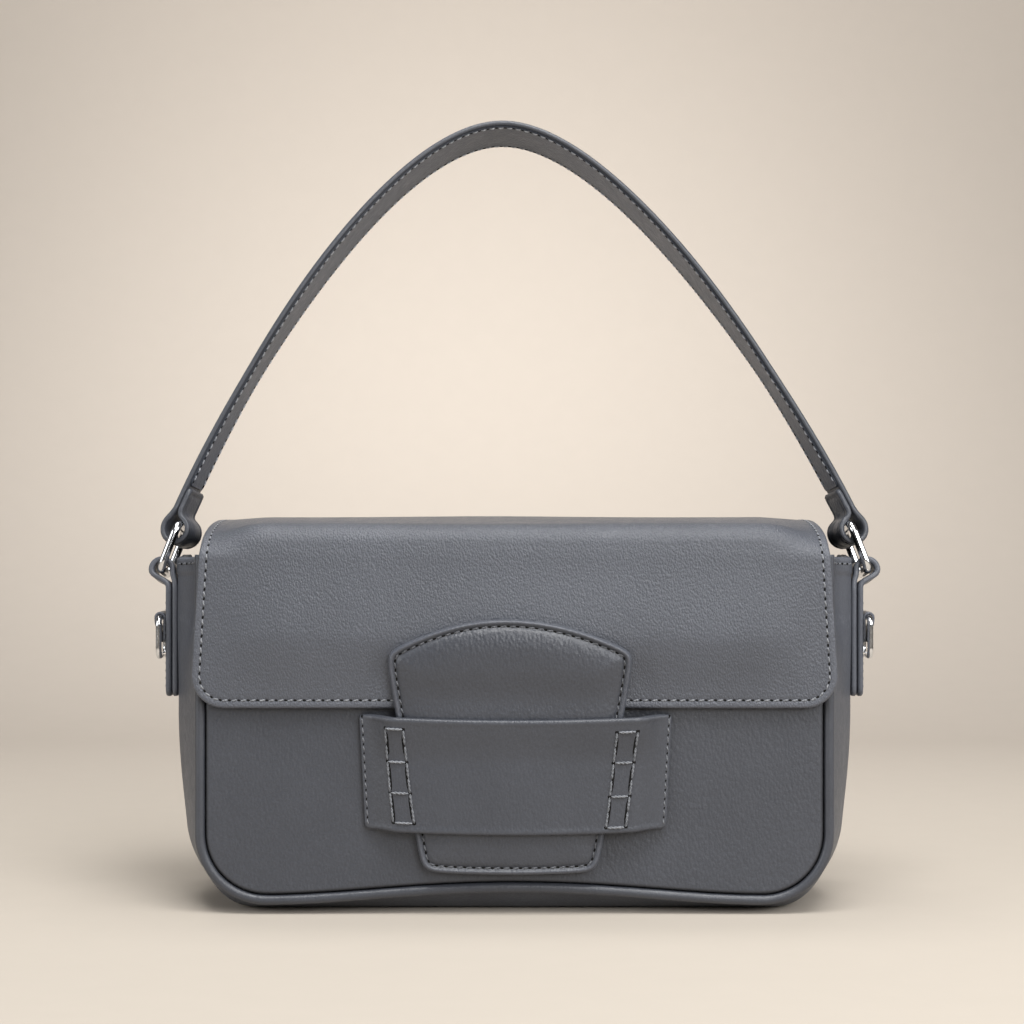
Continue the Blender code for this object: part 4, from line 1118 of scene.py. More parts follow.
def make_band(looks):
    """The band with its sewn ends, and a ladder of thick thread near each end, with painted shadow beside
    each ladder's sides and painted shade at its corners.
    """
    radius = bpy.context.scene.flap_bag_leather.edge_radius
    mid = (BAND_TOP + BAND_LOW) / 2

    def relief(edge, a, b):
        half = mix(BAND_HALF_LOW, BAND_HALF_TOP, (b - BAND_LOW) / (BAND_TOP - BAND_LOW))
        end = half - np.abs(a - BAND_SHIFT)
        return (turned(edge, radius) - 0.35 * MM * bell(end, BAND_STITCH, 0.7 * MM)
                + 0.18 * MM * bell(edge, 1.3 * MM, 0.9 * MM))
    seat(cut_piece("keeper_band_skin", *band_sides(), [(-38 * MM, mid), (38 * MM, mid)], band_bend, relief,
                   BAND_THICKNESS, looks["band"], step=1.2 * MM, insets=INSETS[:9]), "bag", "keeper_band")
    sewn = lambda start, end, lift=0.0: sewn_line(band_bend, [start, end], lift)
    runs = [sewn((BAND_SHIFT + side * (BAND_HALF_TOP - BAND_STITCH), BAND_TOP - 1.0 * MM),
                 (BAND_SHIFT + side * (BAND_HALF_LOW - BAND_STITCH), BAND_LOW + 1.0 * MM), -0.30 * MM)
            for side in (-1, 1)]
    stitches("band_end", runs, looks, "bag", "keeper_band", thread="ladder_thread")
    rungs, sides, shades, corner_shades = [], [], [], []
    for points in LADDERS:
        rows = np.array(points).reshape(4, 2, 2) * MM
        rows[..., 1] += BAND_SAG * 0.4
        middle = rows[:, :, 0].mean()
        rungs += [sewn(left, right) for left, right in rows]
        for above, below in zip(rows, rows[1:]):
            for top, low in zip(above, below):
                # Just inside each side runs a line for that side's painted shadow.
                aside = np.array([0.45 * MM * np.sign(middle - top[0]), 0.0])
                sides.append(sewn(top, low))
                shades.append(sewn(top + aside, low + aside))
        # Short lines at the corners, for painted shade in the holes there.
        corner_shades += [sewn(corner - [0, 0.5 * MM], corner + [0, 0.5 * MM]) for corner in rows.reshape(-1, 2)]
    made = []
    for ply, side in ((0.0, "a"), (math.pi, "b")):
        # The rungs take the brightened thread: painted light, the same thread as the sides made paler.
        made += [sew("ladder_rungs_" + side, rungs, 7.4 * MM, 7.0 * MM, 0.36 * MM, looks["rung_thread"],
                     lift=0.34 * MM, ply=ply),
                 sew("ladder_sides_" + side, sides, 6.2 * MM, 6.4 * MM, 0.33 * MM, looks["ladder_thread"],
                     lift=0.30 * MM, ply=ply)]
    # Flat near-black strips beside the sides, painted shadow, and marks at the corners, painted shade.
    made += [sew("ladder_grooves", shades, 12.4 * MM, 12.0 * MM, 0.55 * MM, looks["hole"],
                 lift=0.02 * MM, flat=0.25),
             sew("ladder_holes", corner_shades, 2.0 * MM, 1.5 * MM, 0.75 * MM, looks["hole"],
                 lift=0.04 * MM, flat=0.35)]
    for piece in made:
        seat(piece, "bag", slot="keeper_band")


# Side tabs, chapes and metal

def neck_place(x, across, s):
    """A point of the strap's own frame in space: s up from the neck, leaning back, across its width."""
    lean = LEAN * ease((s + 3 * MM) / (6 * MM))
    return np.stack([x, across * np.cos(lean) + s * np.sin(lean),
                     NECK_HEIGHT + s * np.cos(lean) - across * np.sin(lean)], -1)


def strip_on(line, out, place):
    """Lays a strip's pattern along a flat line, a distance out to its left, and sets it in space."""
    run, slope = lengths(line), left_of(line)

    def bend(a, b):
        x, s = (np.interp(b, run, line[:, k]) + np.interp(b, run, slope[:, k]) * out for k in (0, 1))
        return place(x, a, s)
    return bend


def tab_line():
    """A tab's middle line as (x, s): up the gusset, out and over the ring's lower bar, and down again."""
    first = GUSSET_HALF + GAP + LEATHER / 2
    second = first + LEATHER + GAP
    x, s = RING_LOW
    radius, rise = TAB_LOOP_RADIUS, s / 2
    low = TAB_LOW - NECK_HEIGHT
    inner = np.array([(first, low), (first, 0.0)])
    up = bezier((first, 0), (first, rise), (x - radius, s - rise), (x - radius, s))
    over = arc((x, s), radius, np.pi, 0.0, 60)
    down = bezier((x + radius, s), (x + radius, s - rise), (second, rise), (second, 0))
    outer = np.array([(second, 0.0), (second, low)])
    joined = np.concatenate([inner, up[1:], over[1:], down[1:], outer[1:]])
    return spaced(joined, 1500)


def strip_sides(length, half_at, corner):
    """A long strip's pattern: its two long sides, with round corners at its ends."""
    b = np.linspace(corner, length - corner, max(60, int(length / (1 * MM))))
    first, last = half_at(np.array([0.0, length]))
    turn_low = arc((first - corner, corner), corner, -np.pi / 2, 0, 12)
    turn_high = arc((last - corner, length - corner), corner, 0, np.pi / 2, 12)
    side = np.stack([half_at(b), b], 1)[1:-1]
    right = np.concatenate([[[0.0, 0.0]], turn_low, side, turn_high, [[0.0, length]]])
    return right, right * [-1, 1]


def long_spine(length, end=5.0 * MM):
    """The middle line of a strip's pattern, short of its ends."""
    return [(0.0, end), (0.0, length - end)]


def even(half):
    """A strip's half width, the same all along."""
    return lambda b: np.full_like(b, half)


def make_tabs(looks):
    """Each tab is a strip laid along its looped line and leaning back above the neck, with a sewn box."""
    line = tab_line()
    total = lengths(line)[-1]
    sides = strip_sides(total, even(TAB_HALF_WIDTH), 3.0 * MM)
    relief = seam_relief(0.8 * MM, TAB_STITCH, groove=0.15 * MM, bead=0.05 * MM)
    edge, end = TAB_HALF_WIDTH - TAB_STITCH, total - TAB_STITCH
    high = total - (NECK_HEIGHT - TAB_LOW) + 4 * MM
    box = rounded([(-edge, high), (-edge, end), (edge, end), (edge, high)], (1.5 * MM, 1.5 * MM))
    for name, side in SIDES:
        ride = ("bag", "strap", (side * 139 * MM, 0.0, 119 * MM), (side * 139 * MM, 0.6 * MM, 128 * MM))
        bend = strip_on(line, LEATHER / 2, lambda x, a, s: neck_place(side * x, -side * a, s))
        seat(cut_piece(name + "_tab_skin", *sides, long_spine(total), bend, relief, LEATHER, looks["tab"],
                       step=0.9 * MM, insets=INSETS[:7]),
             ride, name + "_side_tab", name + "_tab_loop", slot=name + "_side_tab")
        runs = [sewn_line(bend, np.concatenate([box, box[:1]]), -0.10 * MM)]
        stitches(name + "_tab", runs, looks, ride, name + "_side_tab", pitch=3.0 * MM)


def make_chapes(looks):
    """Each chape is up the tab, round the frame's bar by an arc, and down again by a cubic curve."""
    radius = FRAME_WIRE + GAP + CHAPE_LEATHER / 2
    bar = FRAME_TOP - FRAME_WIRE
    back, low, drop = FRAME_BARS - radius, bar - CHAPE_LENGTH, CHAPE_LENGTH / 2
    front = back + CHAPE_LEATHER + GAP
    line = spaced(np.concatenate([[(back, low)], arc((FRAME_BARS, bar), radius, np.pi, 0.0, 40),
                                  bezier((FRAME_BARS + radius, bar), (FRAME_BARS + radius, bar - drop),
                                         (front, low + drop), (front, low))[1:]]), 600)
    total = lengths(line)[-1]
    sides = strip_sides(total, even(CHAPE_HALF_WIDTH), 1.5 * MM)
    for name, side in SIDES:
        bend = strip_on(line, CHAPE_LEATHER / 2, lambda x, a, z: np.stack([side * x, -side * a, z], -1))
        seat(cut_piece(name + "_chape_skin", *sides, long_spine(total, 4 * MM), bend,
                       plain_relief(0.4 * MM), CHAPE_LEATHER, looks["tab"], step=0.7 * MM,
                       insets=THIN_INSETS), "bag", name + "_chape")
        across = [sewn_line(bend, [(-4.4 * MM, total - 2.0 * MM), (4.4 * MM, total - 2.0 * MM)], 0.0)]
        stitches(name + "_chape", across, looks, "bag", name + "_chape", pitch=2.6 * MM)


def wire_loop(length, half_width, corner):
    """A rounded rectangle as (across, up) round its middle."""
    half = length / 2
    centres = ((half_width - corner, half - corner), (corner - half_width, half - corner),
               (corner - half_width, corner - half), (half_width - corner, corner - half))
    turns = [arc(c, corner, k * np.pi / 2, (k + 1) * np.pi / 2, 14) for k, c in enumerate(centres)]
    loop = np.concatenate(turns)
    closed = np.concatenate([loop, loop[:1]])
    return spaced(closed, 161)[:-1]


def wire_piece(name, loop, place, wire, look):
    """A round wire along a closed flat loop: each ring turns about the loop's own outward normal."""
    way = unit(np.roll(loop, -1, 0) - np.roll(loop, 1, 0))
    out = np.stack([way[:, 1], -way[:, 0]], 1)
    turn = np.linspace(0, 2 * np.pi, 20, endpoint=False)
    flat = loop[:, None] + out[:, None] * (wire * np.cos(turn))[None, :, None]
    points = place(flat[..., 0], flat[..., 1], np.broadcast_to(wire * np.sin(turn)[None], flat.shape[:2]))
    index = np.arange(points[..., 0].size).reshape(points.shape[:2])
    return put_mesh(name, points, [ring_faces(np.vstack([index, index[:1]]))], look)


def make_metal(looks):
    """Each is its flat loop swept by a circle. A ring's plane is tilted towards the bag and leans back with
    the strap, and a frame's stands upright beside its tab."""
    high = (RING_LOW[0] - RING_LENGTH * math.sin(RING_TILT), RING_LOW[1] + RING_LENGTH * math.cos(RING_TILT))
    ring = wire_loop(RING_LENGTH, RING_HALF_WIDTH, RING_CORNER)
    small_length = FRAME_HEIGHT - 2 * FRAME_WIRE
    small = wire_loop(small_length, FRAME_HALF_WIDTH, FRAME_CORNER)
    for name, side in SIDES:
        def ring_place(across, up, off):
            down = up - RING_LENGTH / 2
            x = high[0] - down * math.sin(RING_TILT) + off * math.cos(RING_TILT)
            s = high[1] + down * math.cos(RING_TILT) + off * math.sin(RING_TILT)
            return leaning(side * x, across, s)

        def frame_place(across, up, off):
            return np.stack([side * (FRAME_BARS + off), across,
                             FRAME_TOP - FRAME_WIRE + up - small_length / 2], -1)
        seat(wire_piece(name + "_ring_wire", ring, ring_place, RING_ROUND, looks["chrome"]),
             name + "_ring", name + "_ring")
        seat(wire_piece(name + "_side_frame_wire", small, frame_place, FRAME_ROUND, looks["chrome"]),
             name + "_frame", name + "_side_frame")


# Strap

def arch_line(set_in, count=1600):
    """The arch from its right foot to its left, a cubic curve on each side, sheared a little to one side
    by height and set in from its outer face."""
    lean_in = (ARCH_FOOT[0] - ARCH_FOOT_PULL * math.sin(ARCH_SPLAY),
               ARCH_FOOT[1] + ARCH_FOOT_PULL * math.cos(ARCH_SPLAY))
    right = bezier(ARCH_FOOT, lean_in, (ARCH_TOP_PULL, ARCH_TOP), (0.0, ARCH_TOP), count // 2)
    path = np.concatenate([right, (right[:-1] * [-1, 1])[::-1]])
    path[:, 0] += ARCH_SHIFT * (path[:, 1] - ARCH_FOOT[1]) / (ARCH_TOP - ARCH_FOOT[1])
    return path + left_of(path) * set_in


ARCH_RIGHT = arch_line(STRAP_LAYER)[:700]
STRAP_TURN = math.radians(12.0)
STRAP_TURN_FROM = 34 * MM
STRAP_TURN_FADE = 60 * MM


def folded_end(side):
    """The strap's folded end, up inside the arch from the loop."""
    fold = arch_line(STRAP_LAYER + GAP + STRAP_LAYER / 2)
    run = fold if side > 0 else fold[::-1]
    return run[lengths(run) <= STRAP_FOLD]


def end_loop(side):
    """The loop round a ring: from the folded end down, round under the bar and up to the arch's foot."""
    centre, radius = (side * STRAP_LOOP[0], STRAP_LOOP[1]), STRAP_LOOP_RADIUS
    fold = folded_end(side)
    start, end = fold[0], arch_line(STRAP_LAYER / 2)[0 if side > 0 else -1]
    pull = (ARCH_FOOT[1] - STRAP_LOOP[1]) / 2
    splay = np.array([side * math.sin(ARCH_SPLAY), -math.cos(ARCH_SPLAY)]) * pull
    inner, outer = (centre[0] - side * radius, centre[1]), (centre[0] + side * radius, centre[1])
    down = bezier(start, start + splay, (inner[0], inner[1] + pull), inner)
    under = arc(centre, radius, np.pi, 2 * np.pi, 50) if side > 0 else arc(centre, radius, 0.0, -np.pi, 50)
    up = bezier(outer, (outer[0], outer[1] + pull), end + splay, end)
    return np.concatenate([fold[::-1][:-1], down[:-1], under[:-1], up])


def end_turn(x, across, s):
    """The strap's ends turn a little about the upright, so that their inner faces look forward. The turn
    fades out up the arch."""
    foot_up = ARCH_RIGHT[:, 1]
    centre = np.sign(x) * np.interp(s, foot_up, np.abs(ARCH_RIGHT[:, 0]), left=STRAP_LOOP[0])
    turn = np.sign(x) * STRAP_TURN * (1 - ease((s - STRAP_TURN_FROM) / STRAP_TURN_FADE))
    return (centre + (x - centre) * np.cos(turn) - across * np.sin(turn),
            across * np.cos(turn) + (x - centre) * np.sin(turn))


def strap_half(s):
    """Half the strap's width: its end's below the arch's foot, and its top's after an eased step."""
    return mix(STRAP_HALF_END, STRAP_HALF_TOP, ease((s - ARCH_FOOT[1]) / STRAP_WIDEN))


def leaning(x, across, s):
    """A point of the strap's frame in space, wholly leaning back."""
    return np.stack([x, across * math.cos(LEAN) + s * math.sin(LEAN),
                     NECK_HEIGHT + s * math.cos(LEAN) - across * math.sin(LEAN)], -1)


def strap_place(x, across, s):
    """The same for the strap, whose ends are turned about the upright."""
    return leaning(*end_turn(x, across, s), s)


def strap_sides(line, trim=0.0):
    """The strap's half width along a line of it, less a trim, and its pattern's two sides."""
    run = lengths(line)
    half_at = lambda b: strap_half(np.interp(b, run, line[:, 1])) - trim
    return half_at, strip_sides(run[-1], half_at, 1.5 * MM)


def strap_rows(bend, half_at, total, inset, ends, lift):
    """The two sewn lines along the strap's edges."""
    b = np.linspace(ends, total - ends, 1200)
    return [sewn_line(bend, np.stack([side * (half_at(b) - inset), b], 1), lift) for side in (-1, 1)]


def make_strap(looks):
    """The strap is a strip laid along its two loops and the arch, wider towards the top, and its lining a
    thinner strip inside the arch, between the folded ends. Each has a sewn line along both edges."""
    line = np.concatenate([end_loop(1), arch_line(STRAP_LAYER / 2)[1:-1], end_loop(-1)[::-1]])
    line = soften(spaced(line, 4000), 0.4 * MM)
    total = lengths(line)[-1]
    half_at, sides = strap_sides(line)
    bend = strip_on(line, -STRAP_LAYER / 2, strap_place)
    seat(cut_piece("shoulder_strap_skin", *sides, long_spine(total), bend,
                   seam_relief(0.95 * MM, STRAP_STITCH, groove=0.18 * MM, bead=0.08 * MM),
                   STRAP_LAYER + 0.12 * MM, looks["strap"], step=1.3 * MM, insets=INSETS[:9]),
         "strap", "shoulder_strap")
    rows = strap_rows(bend, half_at, total, STRAP_STITCH, 24 * MM, -0.14 * MM)
    stitches("strap", rows, looks, "strap", "shoulder_strap")

    inside = arch_line(STRAP_LAYER + 0.18 * MM + STRAP_LINING_SKIN / 2)
    reach = lengths(inside)
    fold = STRAP_FOLD + 0.5 * MM
    kept = spaced(inside[(reach > fold) & (reach < reach[-1] - fold)], 2500)[::-1]
    total = lengths(kept)[-1]
    half_at, sides = strap_sides(kept, 0.9 * MM)
    bend = strip_on(kept, -STRAP_LINING_SKIN / 2, strap_place)
    seat(cut_piece("strap_lining_skin", *sides, long_spine(total), bend,
                   seam_relief(0.4 * MM, STRAP_UNDER_STITCH, groove=0.12 * MM, bead=0.0),
                   STRAP_LINING_SKIN, looks["strap_lining"], step=1.6 * MM, insets=INSETS[:8]),
         "strap", "strap_lining")
    rows = strap_rows(bend, half_at, total, STRAP_UNDER_STITCH, 2 * MM, -0.06 * MM)
    # The underside's stitches take the brightened thread: painted light against the shade under the strap.
    stitches("strap_under", rows, looks, "strap", "strap_lining", thread="under_thread")


# Floor, light and camera

def aim(obj, target):
    """Turn a lamp to look at a point."""
    way = np.array(target) - np.array(obj.location)
    flat = math.hypot(way[0], way[1])
    obj.rotation_euler = (math.atan2(flat, -way[2]), 0.0, math.atan2(way[1], way[0]) - math.pi / 2)


def softbox(name, place, target, width, height, power, colour):
    """A rectangular lamp that looks at a point."""
    lamp = bpy.data.lights.new(name, "AREA")
    lamp.shape, lamp.size, lamp.size_y = "RECTANGLE", width, height
    lamp.energy, lamp.color = power, colour
    made = bpy.data.objects.new(name, lamp)
    bpy.context.scene.collection.objects.link(made)
    made.location = place
    aim(made, target)


def backdrop_finish(floor, wall):
    """Warm paper: an even floor that passes softly into a wall, with a painted pool of light on the wall
    that darkens away from a point behind the bag.
    """
    made, tree, place = finish_tree("backdrop_paper")
    away = node(tree, "ShaderNodeVectorMath", operation="DISTANCE")
    join(tree, place, away.inputs[0])
    away.inputs[1].default_value = (-0.05, 1.3, 0.18)
    # Painted pool of light: the wall's colour falls from full behind the bag to the fall-off share 0.75 m
    # away.
    fade = ramp(tree, away.outputs["Value"], 0.0, 0.75, 1.0, WALL_PAINTED_FALLOFF)
    tooth = ramp(tree, noise(tree, place, 60.0, 3.0), 0.3, 0.7, 0.994, 1.006)
    y = node(tree, "ShaderNodeSeparateXYZ", Vector=place).outputs["Y"]
    turn = ramp(tree, y, 0.06, 0.86, 0.0, 1.0)
    for soft in (fade, turn):
        soft.node.interpolation_type = "SMOOTHSTEP"
    paper = node(tree, "ShaderNodeMix", data_type="RGBA", Factor=turn)
    join(tree, shaded(tree, floor, tooth), paper.inputs["A"])
    join(tree, shaded(tree, wall, combined(tree, fade, tooth)), paper.inputs["B"])
    finished(tree, Base_Color=paper.outputs["Result"], Roughness=0.95, Specular_IOR_Level=0.1)
    return made


# Each lamp's name, its power's setting, its place, what it looks at, its width, height and colour
LAMPS = (
    ("top_light", "top", (0.10, -0.60, 1.30), (0.0, 0.0, 0.10), 0.9, 0.6, (1.0, 0.995, 0.985)),
    ("front_light", "front", (0.48, -1.05, 0.95), (0.0, 0.0, 0.12), 0.85, 0.7, (1.0, 0.99, 0.98)),
    ("sheen_light", "sheen", (0.54, -1.30, 0.54), (0.0, 0.0, 0.12), 0.5, 0.35, (0.985, 0.99, 1.0)),
    ("left_light", "left", (-1.20, -0.62, 0.50), (0.0, 0.0, 0.12), 0.95, 0.8, (0.97, 0.985, 1.0)),
    ("right_light", "right", (1.30, -0.48, 0.55), (0.0, 0.0, 0.12), 0.8, 0.7, (0.985, 0.99, 1.0)),
    ("wall_light", "wall_wash", (-0.10, 0.25, 1.15), (-0.10, 1.15, 0.02), 0.9, 0.5, (1.0, 0.99, 0.975)),
)


def make_stage():
    """A paper sweep: a flat floor that turns up into a wall behind by a quarter circle."""
    scene = bpy.context.scene
    size = scene.flap_bag_stage
    turn = arc((WALL_BACK - SWEEP_RADIUS, SWEEP_RADIUS - FLOOR_DROP), SWEEP_RADIUS, -np.pi / 2, 0, 40)
    line = np.concatenate([[(-3.0, -FLOOR_DROP)], turn, [(WALL_BACK, 3.2)]])
    x, k = np.meshgrid(np.linspace(-3.2, 3.2, 3), np.arange(len(line)))
    grid = np.stack([x, line[k, 0], line[k, 1]], -1)
    below = grid + np.array([0.0, 0.02, -0.02])
    sweep = grid_skin("backdrop_sweep", grid, below, backdrop_finish(tuple(size.floor), tuple(size.wall)))
    for name, power, place, target, width, height, colour in LAMPS:
        softbox(name, place, target, width, height, getattr(size, power), colour)
    scene.world = bpy.data.worlds.new("studio_air")
    scene.world.use_nodes = True
    air = scene.world.node_tree.nodes["Background"]
    air.inputs["Color"].default_value = (1.0, 0.985, 0.96, 1.0)
    air.inputs["Strength"].default_value = size.air
    camera = bpy.data.objects.new("camera", bpy.data.cameras.new("camera"))
    scene.collection.objects.link(camera)
    camera.location = CAMERA
    camera.rotation_euler = (math.pi / 2, 0.0, 0.0)
    camera.data.lens = LENS
    camera.data.sensor_width = SENSOR
    scene.camera = camera
    scene.view_settings.view_transform = "Standard"


# Settings a maker would change

def colour_of(name, text, value):
    """A colour that a maker would change."""
    return FloatVectorProperty(name=name, description=text, subtype="COLOR", size=3, min=0.0, max=1.0,
                               default=value)


def length_of(name, text, value, low, high):
    """A length that a maker would change."""
    return FloatProperty(name=name, description=text, unit="LENGTH", subtype="DISTANCE", default=value,
                         min=low, max=high)


def strength_of(name, text, value):
    """How strong a light is."""
    return FloatProperty(name=name, description=text, default=value, min=0.0)


class BagLeather(bpy.types.PropertyGroup):
    """Leather colours and edges."""
    slate: colour_of("Slate", "Colour of the flap, gusset, tabs and strap", (0.0745, 0.0806, 0.0970))
    # A darker copy of the one slate leather: painted shade for the panels, tongue, band and piping.
    slate_shaded: colour_of("Deep slate", "Colour of the panels, tongue, band and piping",
                          (0.0508, 0.0551, 0.0670))
    strap_lining: colour_of("Strap lining", "Colour of the strap's lining leather", (0.051, 0.064, 0.092))
    suede: colour_of("Underside", "Colour of the flap's underside", (0.060, 0.063, 0.071))
    cloth: colour_of("Lining", "Colour of the lining cloth", (0.045, 0.047, 0.052))
    edge_radius: length_of("Edge radius", "Rounding of the turned leather edges", 0.9 * MM, 0.1 * MM,
                           1.1 * MM)


class BagThread(bpy.types.PropertyGroup):
    """Thread and stitch sizes."""
    thread: colour_of("Pale thread", "Colour of the flap's thread", (0.23, 0.24, 0.26))
    dark_thread: colour_of("Slate thread", "Colour of the thread in the other seams", (0.125, 0.131, 0.145))
    ladder: colour_of("Ladder thread", "Colour of the ladders' long sides", (0.155, 0.163, 0.180))
    hole: length_of("Hole radius", "Half the width of an awl hole", 0.46 * MM, 0.1 * MM, 1 * MM)
    pitch: length_of("Stitch pitch", "Distance from one stitch to the next", 3.6 * MM, 1 * MM, 8 * MM)
    radius: length_of("Thread radius", "Half the thickness of the thread", 0.33 * MM, 0.1 * MM, 1 * MM)
    length_share: FloatProperty(name="Stitch length", description="Share of the pitch that shows as thread",
                                subtype="FACTOR", default=0.66, min=0.2, max=1.0)


class BagMetal(bpy.types.PropertyGroup):
    """Plated rings and frames."""
    chrome: colour_of("Chrome", "Colour of the polished plating", (0.80, 0.81, 0.83))


class BagStage(bpy.types.PropertyGroup):
    """Paper sweep and lamps."""
    floor: colour_of("Floor", "Colour of the paper on the floor", (0.458, 0.412, 0.357))
    wall: colour_of("Wall", "Colour of the paper behind the bag", (0.735, 0.66, 0.582))
    top: strength_of("Top light", "Power of the softbox above", 17.5)
    front: strength_of("Front light", "Power of the softbox at the right of the camera", 6.4)
    sheen: strength_of("Sheen light", "Power of the small softbox over the camera", 6.2)
    left: strength_of("Left light", "Power of the softbox on the left", 7.0)
    right: strength_of("Right light", "Power of the softbox on the right", 6.6)
    wall_wash: strength_of("Wall light", "Power of the softbox on the wall", 7.4)
    air: strength_of("Room light", "Strength of the even light all round", 0.08)


LOOKS = {}


def looks():
    """Every finish of the bag, made once."""
    if not LOOKS:
        leather = bpy.context.scene.flap_bag_leather
        sewing = bpy.context.scene.flap_bag_thread
        # deep is the darker copy of the slate leather: painted shade on the panels, tongue, band and piping.
        slate, deep = tuple(leather.slate), tuple(leather.slate_shaded)
        LOOKS.update(
            # Panels: the negative edge setting paints shade in the seams beside the piping.
            leather=leather_finish("panel_leather", deep, bump=0.55, edge_rub_and_shade=-0.75, reach=(0.03, 0.14)),
            flap=leather_finish("flap_leather", slate, grain=1.65, rough=0.35, bump=0.90),
            # Tongue: the paler rolled border is a rubbed edge and partly painted highlight.
            tongue=leather_finish("tongue_leather", deep, rough=0.36, bump=0.60, edge_rub_and_shade=0.45,
                                  reach=(0.12, 0.22)),
            band=leather_finish("band_leather", deep, bump=0.40, edge_rub_and_shade=0.10, reach=(0.10, 0.18)),
            gusset=leather_finish("gusset_leather", slate, bump=0.35, rough=0.45),
            piping=leather_finish("piping_leather", deep, grain=1.3, bump=0.25, rough=0.38, edge_rub_and_shade=0.0),
            tab=leather_finish("tab_leather", slate, bump=0.25),
            # Strap: a darker band along its edges. Strap lining: painted shade along its edges, where it
            # meets the strap's outer layer.
            strap=leather_finish("strap_leather", slate, bump=0.35, edge_rub_and_shade=-0.26),
            strap_lining=leather_finish("strap_lining_leather", tuple(leather.strap_lining), bump=0.35,
                                        edge_rub_and_shade=-0.5, reach=(0.03, 0.08)),
            suede=leather_finish("underside_leather", tuple(leather.suede), rough=0.7, bump=0.5, edge_rub_and_shade=0.0),
            cloth=cloth_finish("lining_cloth", tuple(leather.cloth)),
            thread=thread_finish("pale_thread", tuple(sewing.thread)),
            dark_thread=thread_finish("slate_thread", tuple(sewing.dark_thread)),
            ladder_thread=thread_finish("ladder_thread", tuple(sewing.ladder)),
            # The strap underside's thread is the pale thread made 1.7 times paler: painted light, since that
            # side faces down into shade.
            under_thread=thread_finish("under_thread", tuple(1.7 * c for c in sewing.thread)),
            # The rungs' thread is the ladder thread made 1.35 times paler: painted light on the rungs.
            rung_thread=thread_finish("rung_thread", tuple(1.35 * c for c in sewing.ladder)),
            # The hole finish is painted shade: near black, for the awl holes and the ladders' shadows.
            hole=hole_shade_finish("awl_hole"),
            chrome=chrome_finish("polished_chrome", tuple(bpy.context.scene.flap_bag_metal.chrome)),
            board=board_finish("fibre_board", (0.18, 0.15, 0.12)),
        )
    return LOOKS


class FLAPBAG_OT_body(bpy.types.Operator):
    """Make the front and back panels, their linings, the pocket and the base board's finish"""
    bl_idname = "flap_bag.body"
    bl_label = "Panels and linings"

    def execute(self, context):
        make_panels(looks())
        make_pocket(looks())
        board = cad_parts["base_board"].data
        board.materials.clear()
        board.materials.append(looks()["board"])
        return {"FINISHED"}


class FLAPBAG_OT_gusset(bpy.types.Operator):
    """Make the gusset with its hem, and the piping in both seams"""
    bl_idname = "flap_bag.gusset"
    bl_label = "Gusset and piping"

    def execute(self, context):
        make_gusset(looks())
        make_piping(looks())
        return {"FINISHED"}


class FLAPBAG_OT_flap(bpy.types.Operator):
    """Make the flap in its front and back lengths, with its underside and edge stitching"""
    bl_idname = "flap_bag.flap"
    bl_label = "Flap"

    def execute(self, context):
        make_flap(looks())
        return {"FINISHED"}


class FLAPBAG_OT_closure(bpy.types.Operator):
    """Make the padded tongue and the keeper band it tucks under"""
    bl_idname = "flap_bag.closure"
    bl_label = "Tongue and band"

    def execute(self, context):
        make_tongue(looks())
        make_band(looks())
        return {"FINISHED"}


class FLAPBAG_OT_tabs(bpy.types.Operator):
    """Make the side tabs and the small chapes on them"""
    bl_idname = "flap_bag.tabs"
    bl_label = "Side tabs and chapes"

    def execute(self, context):
        make_tabs(looks())
        make_chapes(looks())
        return {"FINISHED"}


class FLAPBAG_OT_metal(bpy.types.Operator):
    """Make the polished rings and side frames"""
    bl_idname = "flap_bag.metal"
    bl_label = "Rings and frames"

    def execute(self, context):
        make_metal(looks())
        return {"FINISHED"}


class FLAPBAG_OT_strap(bpy.types.Operator):
    """Make the shoulder strap, its lining and its stitching"""
    bl_idname = "flap_bag.strap"
    bl_label = "Shoulder strap"

    def execute(self, context):
        make_strap(looks())
        return {"FINISHED"}


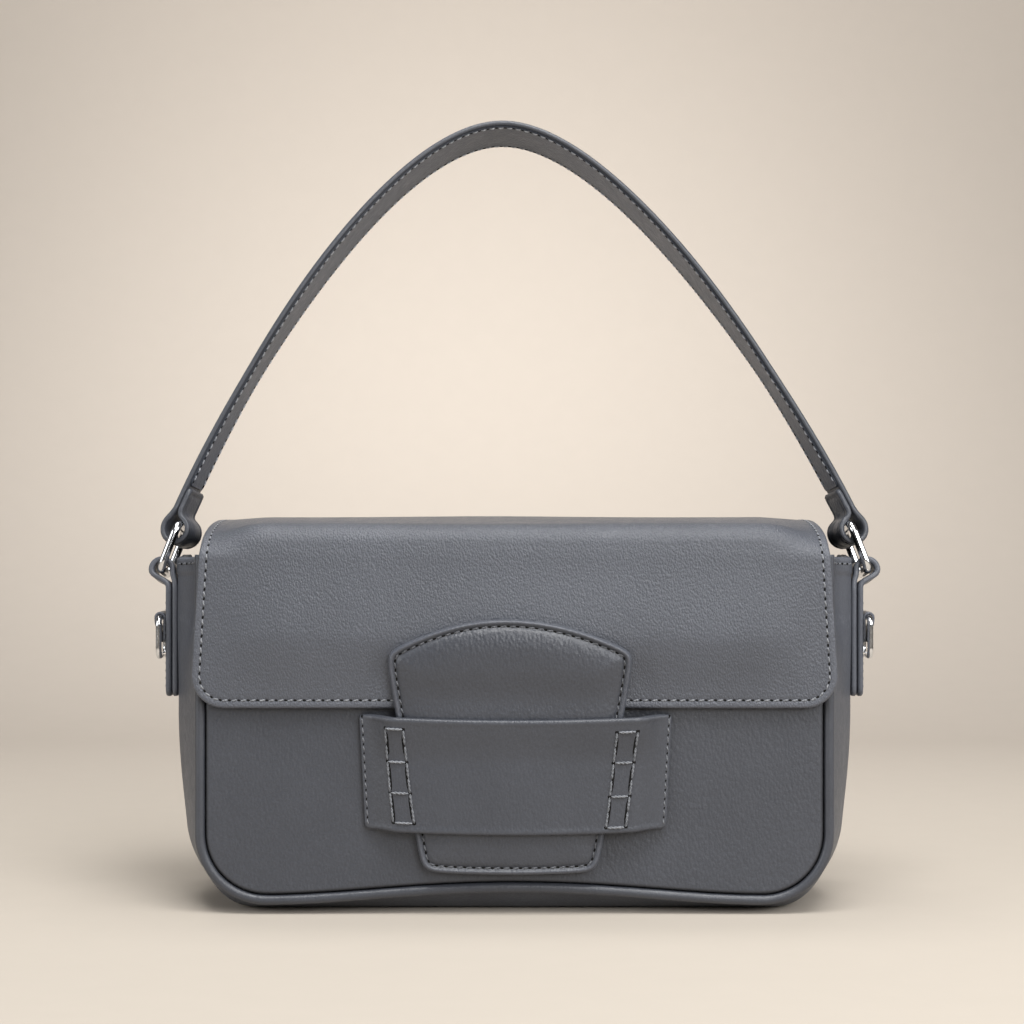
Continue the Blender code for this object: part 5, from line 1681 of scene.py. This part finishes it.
class FLAPBAG_OT_stage(bpy.types.Operator):
    """Lay the paper sweep and set the lamps and the camera"""
    bl_idname = "flap_bag.stage"
    bl_label = "Stage"

    def execute(self, context):
        make_stage()
        return {"FINISHED"}


OPERATORS = (FLAPBAG_OT_stage, FLAPBAG_OT_body, FLAPBAG_OT_gusset, FLAPBAG_OT_flap, FLAPBAG_OT_closure,
             FLAPBAG_OT_tabs, FLAPBAG_OT_metal, FLAPBAG_OT_strap)


class FLAPBAG_PT_sidebar(bpy.types.Panel):
    """The bag's settings and its pieces in the sidebar."""
    bl_idname = "FLAPBAG_PT_sidebar"
    bl_label = "Flap Shoulder Bag"
    bl_space_type = "VIEW_3D"
    bl_region_type = "UI"
    bl_category = "Bag"

    def draw(self, context):
        layout = self.layout
        for group in ("flap_bag_leather", "flap_bag_thread", "flap_bag_metal", "flap_bag_stage"):
            settings = getattr(context.scene, group)
            box = layout.box()
            for name in settings.bl_rna.properties.keys():
                if name not in ("rna_type", "name"):
                    box.prop(settings, name)
        for operator in OPERATORS:
            layout.operator(operator.bl_idname)


GROUPS = {"flap_bag_leather": BagLeather, "flap_bag_thread": BagThread,
          "flap_bag_metal": BagMetal, "flap_bag_stage": BagStage}


def register():
    """Add the settings, the operators and the panel to Blender."""
    for name, group in GROUPS.items():
        bpy.utils.register_class(group)
        setattr(bpy.types.Scene, name, PointerProperty(type=group))
    for made in (*OPERATORS, FLAPBAG_PT_sidebar):
        bpy.utils.register_class(made)


def unregister():
    """Take them away again."""
    for made in reversed((*OPERATORS, FLAPBAG_PT_sidebar)):
        bpy.utils.unregister_class(made)
    for name, group in GROUPS.items():
        delattr(bpy.types.Scene, name)
        bpy.utils.unregister_class(group)


def main():
    """Register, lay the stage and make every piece."""
    register()
    bpy.ops.flap_bag.stage()
    bpy.ops.flap_bag.body()
    bpy.ops.flap_bag.gusset()
    bpy.ops.flap_bag.flap()
    bpy.ops.flap_bag.closure()
    bpy.ops.flap_bag.tabs()
    bpy.ops.flap_bag.metal()
    bpy.ops.flap_bag.strap()


if __name__ == "__main__":
    main()
